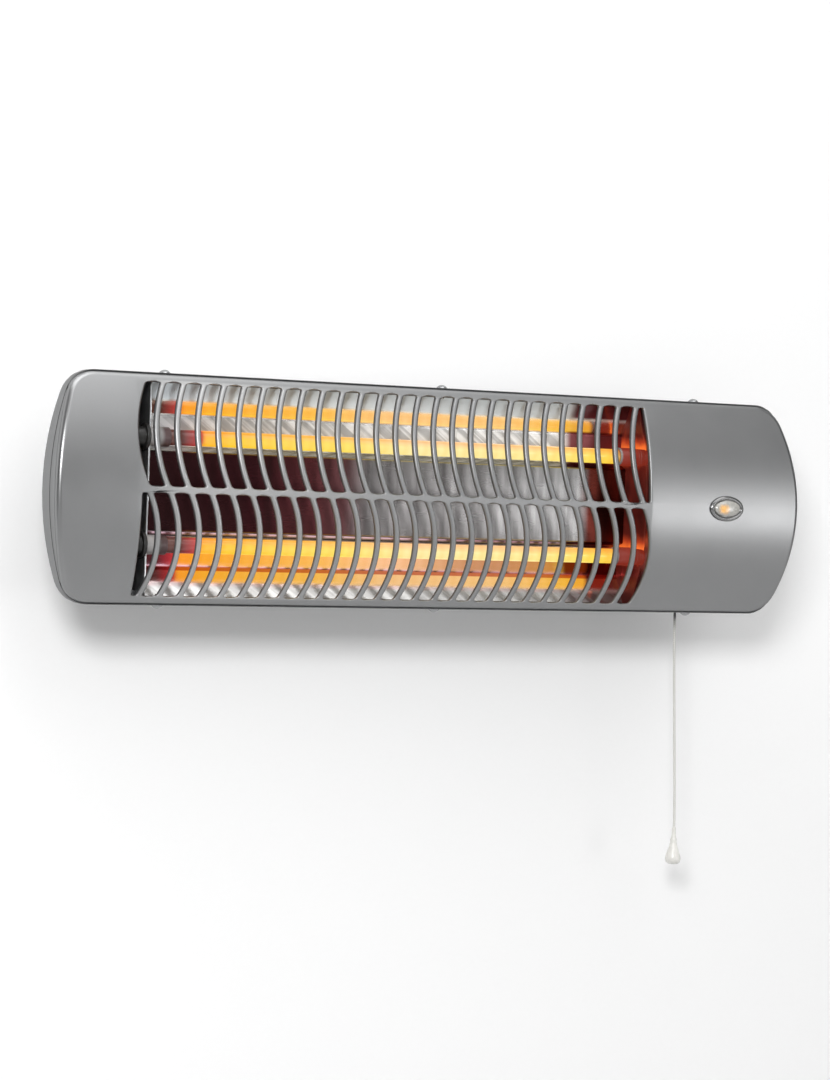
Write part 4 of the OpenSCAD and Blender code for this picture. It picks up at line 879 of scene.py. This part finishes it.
# Satin silver paint, duller over the grille. Painted light makes the grille's left half paler and the
# skirt a lighter silver than the face, and painted shade darkens the pressed lines, more towards the
# right end, and the slots' sides deep behind the face
silver = Finish("satin silver paint", (0.26, 0.262, 0.265), 0.3, 0.85)
grain, mottle = silver.noise(0.5 * MM, 3), silver.noise(30 * MM, 3)
point = silver.place()
along, height = point.part(0), point.part(2)
off = along - GRILLE_X * MM
in_grille = off.within(184.5 * MM, 186.2 * MM) * height.within(67.5 * MM, 68.6 * MM)
in_field = height.within(65.2 * MM, 66.2 * MM)
# Painted light: the grille's left half is painted paler
left_grille_painted_light = off.within(150 * MM, 186 * MM) * along.band(-220 * MM, 0.0, 0.85, 0.06) * in_grille
# Depth behind the bowed face
depth = point.part(1) - (APEX_Y + DRUM_R) * MM + ((DRUM_R * MM) ** 2 - height * height) ** 0.5
# Painted shade: deep behind the face, the slots' sides are painted near black and made less metallic
cut_side = depth.band(1.0 * MM, 1.6 * MM) * in_grille * (in_field * 0.75 + 0.25)
# The skirt is painted a lighter silver than the face: painted light on the cover's sides
skirt = depth.band(3.3 * MM, 4.2 * MM) * (1.0 - in_grille)
# Painted shade in the pressed line where the bend ends, stronger towards the right end
bend_line = (depth.band(2.7 * MM, 3.2 * MM) * depth.band(4.2 * MM, 4.8 * MM, 1.0, 0.0)
             * (1.0 - in_grille) * along.band(-200 * MM, 200 * MM, 0.3, 0.8))
# Painted shade in the second pressed line, half way back on the skirt
seam_y = (APEX_Y + SEAM_BACK) * MM + height * height * (SEAM_BOW / (HALF_H * HALF_H) / MM)
seam_line = (point.part(1) - seam_y).within(0.5 * MM, 0.9 * MM) * skirt
paint = silver.blend(mottle * 0.5 + grain * 0.5, (0.235, 0.237, 0.24), (0.29, 0.292, 0.295))
for share, tint in ((skirt, (0.32, 0.323, 0.327)), (left_grille_painted_light, (0.44, 0.44, 0.44)),
                    (cut_side * 0.8 + bend_line * 0.85 + seam_line * 0.7, (0.025, 0.024, 0.024))):
    paint = silver.blend(share, paint, tint)
silver.give("Base Color", paint)
silver.give("Roughness", mottle * 0.06 + grain * 0.06 + in_grille * 0.12 + 0.26)
silver.give("Metallic", 0.95 - cut_side * 0.8)
silver.give("Specular Tint", (0.5, 0.5, 0.5, 1.0))
silver.give("Normal", silver.bump(grain, 0.03 * MM, 0.5))
finish_piece("front_cover_silver", cover, "heater", silver, "front_cover", smooth=50)
apply(cover, "WEIGHTED_NORMAL", keep_sharp=True)


# Signal lamp: a chromed oval bezel pressed into the cover, with a clear faceted lens in it. The amber
# spot left of the lens's middle, where a small neon lamp shines through from behind, is a painted glow
# in the lens.

LAMP_X, BEZEL_Y, LENS_Y = 212.3, -96.6, -97.2
# Each step of the two rounded fronts as its inset and its rise, in mm
BEZEL_STEPS = [(0.35, 0.75), (0.6, 0.45), (0.8, 0.2), (0.7, -0.35), (0.3, -0.5)]
LENS_STEPS = [(0.5, 0.3), (0.6, 0.45), (0.7, 0.35), (0.7, 0.2)]


def domed_oval(width, height, y, wall, steps):
    """An oval boss on the cover, drawn out by its wall and then stepped inwards, left in edit mode."""
    bpy.ops.mesh.primitive_circle_add(vertices=64, radius=1, fill_type="NGON",
                                      location=(LAMP_X * MM, y * MM, 0), rotation=(math.pi / 2, 0, 0))
    oval = only(bpy.context.object)
    oval.scale = (width / 2 * MM, height / 2 * MM, 1)
    bpy.ops.object.transform_apply()
    edit(oval, "FACE")
    bpy.ops.mesh.select_all(action="SELECT")
    bpy.ops.mesh.extrude_region_move(TRANSFORM_OT_translate={"value": (0, -wall * MM, 0)})
    for inset, rise in steps:
        bpy.ops.mesh.inset(thickness=inset * MM)
        bpy.ops.transform.translate(value=(0, -rise * MM, 0))
    return oval


bezel = domed_oval(width=27.0, height=17.5, y=BEZEL_Y, wall=0.9, steps=BEZEL_STEPS)
bpy.ops.mesh.inset(thickness=0.35 * MM)
bpy.ops.mesh.extrude_region_move(TRANSFORM_OT_translate={"value": (0, 4.6 * MM, 0)})
bpy.ops.mesh.delete(type="FACE")
bpy.ops.object.mode_set(mode="OBJECT")
apply(bezel, "BEVEL", width=0.25 * MM, segments=3, limit_method="ANGLE", angle_limit=math.radians(25))
chrome = Finish("lamp chrome", (0.24, 0.24, 0.24), 0.22, 0.95)
chrome.mottle(2 * MM, 0.18, 0.12, detail=2)
finish_piece("lamp_bezel_chrome", bezel, "heater", chrome, "lamp_bezel", smooth=50)

lens = domed_oval(width=20.2, height=10.8, y=LENS_Y, wall=1.6, steps=LENS_STEPS)
bpy.ops.object.mode_set(mode="OBJECT")
SPOT_X, SPOT_Z, SPOT_W, SPOT_H = (LAMP_X - 3.4) * MM, -0.4 * MM, 3.6 * MM, 3.0 * MM
amber = Finish("amber faceted lens", (0.62, 0.55, 0.42), 0.08)
point = amber.place()
facets = amber.cells(2.1 * MM, (1.0, 0.01, 1.0))
across, upward = (point.part(0) - SPOT_X) / SPOT_W, (point.part(2) - SPOT_Z) / SPOT_H
# Painted light: the neon lamp's amber spot, as colour and glow in the lens
spot = (across * across + upward * upward + (facets - 0.4) * 0.9).band(-0.2, 2.2, 1.0, 0.0)
amber.give("Base Color", amber.blend(spot, (0.42, 0.41, 0.38), (0.60, 0.36, 0.12)))
amber.glow(amber.blend(spot, (0.0, 0.0, 0.0), (0.55, 0.24, 0.05)), 0.8)
amber.give("Normal", amber.bump(facets, 0.6 * MM))
amber.give("Coat Weight", 1.0)
finish_piece("lamp_lens_amber", lens, "heater", amber, "lamp_lens", smooth=60)

neon = Finish("neon lamp", (0.9, 0.4, 0.15), 0.1)
neon.glow(neon.blend(neon.noise(2 * MM), (1.0, 0.3, 0.06), (1.0, 0.42, 0.1)), 2.0)
dress(neon, "neon_lamp")


# Cover screws: bright domed screws through the skirt, three along the top and three along the
# bottom, which hold the cover to the rear casing.

rounded_copy("cover_screws", "domed", 0.25 * MM, 3, bright, turn=45)


# Room: a white wall and a pale floor, a soft box at the upper left, a weak one above, and the camera
# where the photographer stood. The world's light differs by direction, because the paint mirrors it.

class Surroundings(Finish):
    """The room's own light, written with the same nodes as a finish."""

    def __init__(self, world):
        world.use_nodes = True
        self.tree = world.node_tree


world = bpy.data.worlds.new("room")
bpy.context.scene.world = world
room = Surroundings(world)
way = room.node("ShaderNodeTexCoord", {}, {}, out=0)
rightward, backward, upward = way.part(0), way.part(1), way.part(2)
ceiling = (upward.band(0.0, 0.8) * rightward.band(0.39, 0.55, 1.0, 0.0) * rightward.band(-0.3, 0.1) * 2.0
           + upward.band(0.82, 0.97) * 0.8)
ground = (upward * -1.0).band(0.05, 0.7) * rightward.band(0.1, 0.35) * 0.75
off = (upward + 0.06) / 0.20
window = rightward.band(0.44, 0.57) * rightward.band(0.61, 0.72, 1.0, 0.0) * 8.5 / (off * off + 1.0) ** 2
front_light = ((ceiling + ground + window + rightward.band(0.0, 0.3) * 0.06 + 0.18)
               * rightward.band(0.66, 0.85, 1.0, 0.6))
at_back = backward.band(-0.05, 0.15)
light = at_back * 0.5 + (1.0 - at_back) * front_light
to_camera = room.node("ShaderNodeLightPath", {}, {}, out="Is Camera Ray")
sky = room.tree.nodes["Background"]
room.plug(to_camera + (1.0 - to_camera) * light, sky.inputs["Strength"])
room.plug((1.0, 1.0, 1.0, 1.0), sky.inputs["Color"])


def surface(name, size, place, turned, tone, lift, one_sided):
    """A wall or floor of plain matt paint, lifted towards white where the camera or a mirror sees it."""
    bpy.ops.mesh.primitive_plane_add(size=size, location=place, rotation=turned)
    board = only(bpy.context.object)
    bpy.ops.object.transform_apply()
    board.name = name
    matt = Finish(name + " paint", (tone, tone, tone), 0.9)
    matt.give("Base Color", matt.blend(matt.noise(3 * MM), (tone - 0.01,) * 3, (tone + 0.01,) * 3))
    seen = sum(matt.node("ShaderNodeLightPath", {}, {}, out="Is %s Ray" % kind)
               for kind in ("Camera", "Glossy", "Transmission"))
    matt.glow(matt.blend(seen, (0.0, 0.0, 0.0), (1.0, 1.0, 1.0)), lift)
    if one_sided:
        # It is clear from behind, so that a view from there shows the heater's back
        back = matt.node("ShaderNodeNewGeometry", {}, {}, out="Backfacing")
        clear = matt.node("ShaderNodeBsdfTransparent", {}, {})
        painted = Wire(matt, matt.shader.outputs[0])
        both = matt.node("ShaderNodeMixShader", {}, {0: back, 1: painted, 2: clear})
        matt.plug(both, matt.tree.nodes["Material Output"].inputs["Surface"])
        board.visible_shadow = False
    dress(matt, board)


surface("wall", 9.0, (0, 0.6 * MM, 0), (math.pi / 2, 0, 0), 0.95, 0.02, True)
surface("floor", 12.0, (0, 0, -1.2), (0, 0, 0), 0.4, 0.45, False)


def soft_box(name, place, aim, width, height, power):
    """A lamp with a wide, flat front, turned towards a place."""
    lamp = bpy.data.lights.new(name, "AREA")
    lamp.shape, lamp.size, lamp.size_y, lamp.energy = "RECTANGLE", width, height, power
    holder = add(name, lamp)
    holder.location = place
    holder.rotation_euler = (Vector(aim) - Vector(place)).to_track_quat("-Z", "Y").to_euler()


soft_box("key", (-1.1, -1.8, 0.62), (0, -0.1, 0), 0.6, 0.45, 27)
soft_box("top", (-0.35, -0.45, 1.1), (-0.1, -0.1, 0), 0.9, 0.4, 3)

# The camera was fitted to the heater's outline, its cover screws and its grille in the photograph
CAMERA_PLACE, LENS_MM = (-0.84238, -1.69734, 0.00913), 92.34
YAW, PITCH_ANGLE, ROLL = math.radians(27), -0.0202, 0.03684
eye = bpy.data.cameras.new("camera")
eye.sensor_fit, eye.sensor_width, eye.lens = "AUTO", 36, LENS_MM
camera = add("camera", eye)
forward = Vector((math.sin(YAW) * math.cos(PITCH_ANGLE), math.cos(YAW) * math.cos(PITCH_ANGLE),
                  math.sin(PITCH_ANGLE)))
right = Vector((math.cos(YAW), -math.sin(YAW), 0))
above = right.cross(forward)
right, above = (right * math.cos(ROLL) + above * math.sin(ROLL),
                above * math.cos(ROLL) - right * math.sin(ROLL))
turn = Matrix((right, above, -forward)).transposed().to_4x4()
camera.matrix_world = Matrix.Translation(CAMERA_PLACE) @ turn
bpy.context.scene.camera = camera
bpy.context.scene.view_settings.view_transform = "Standard"
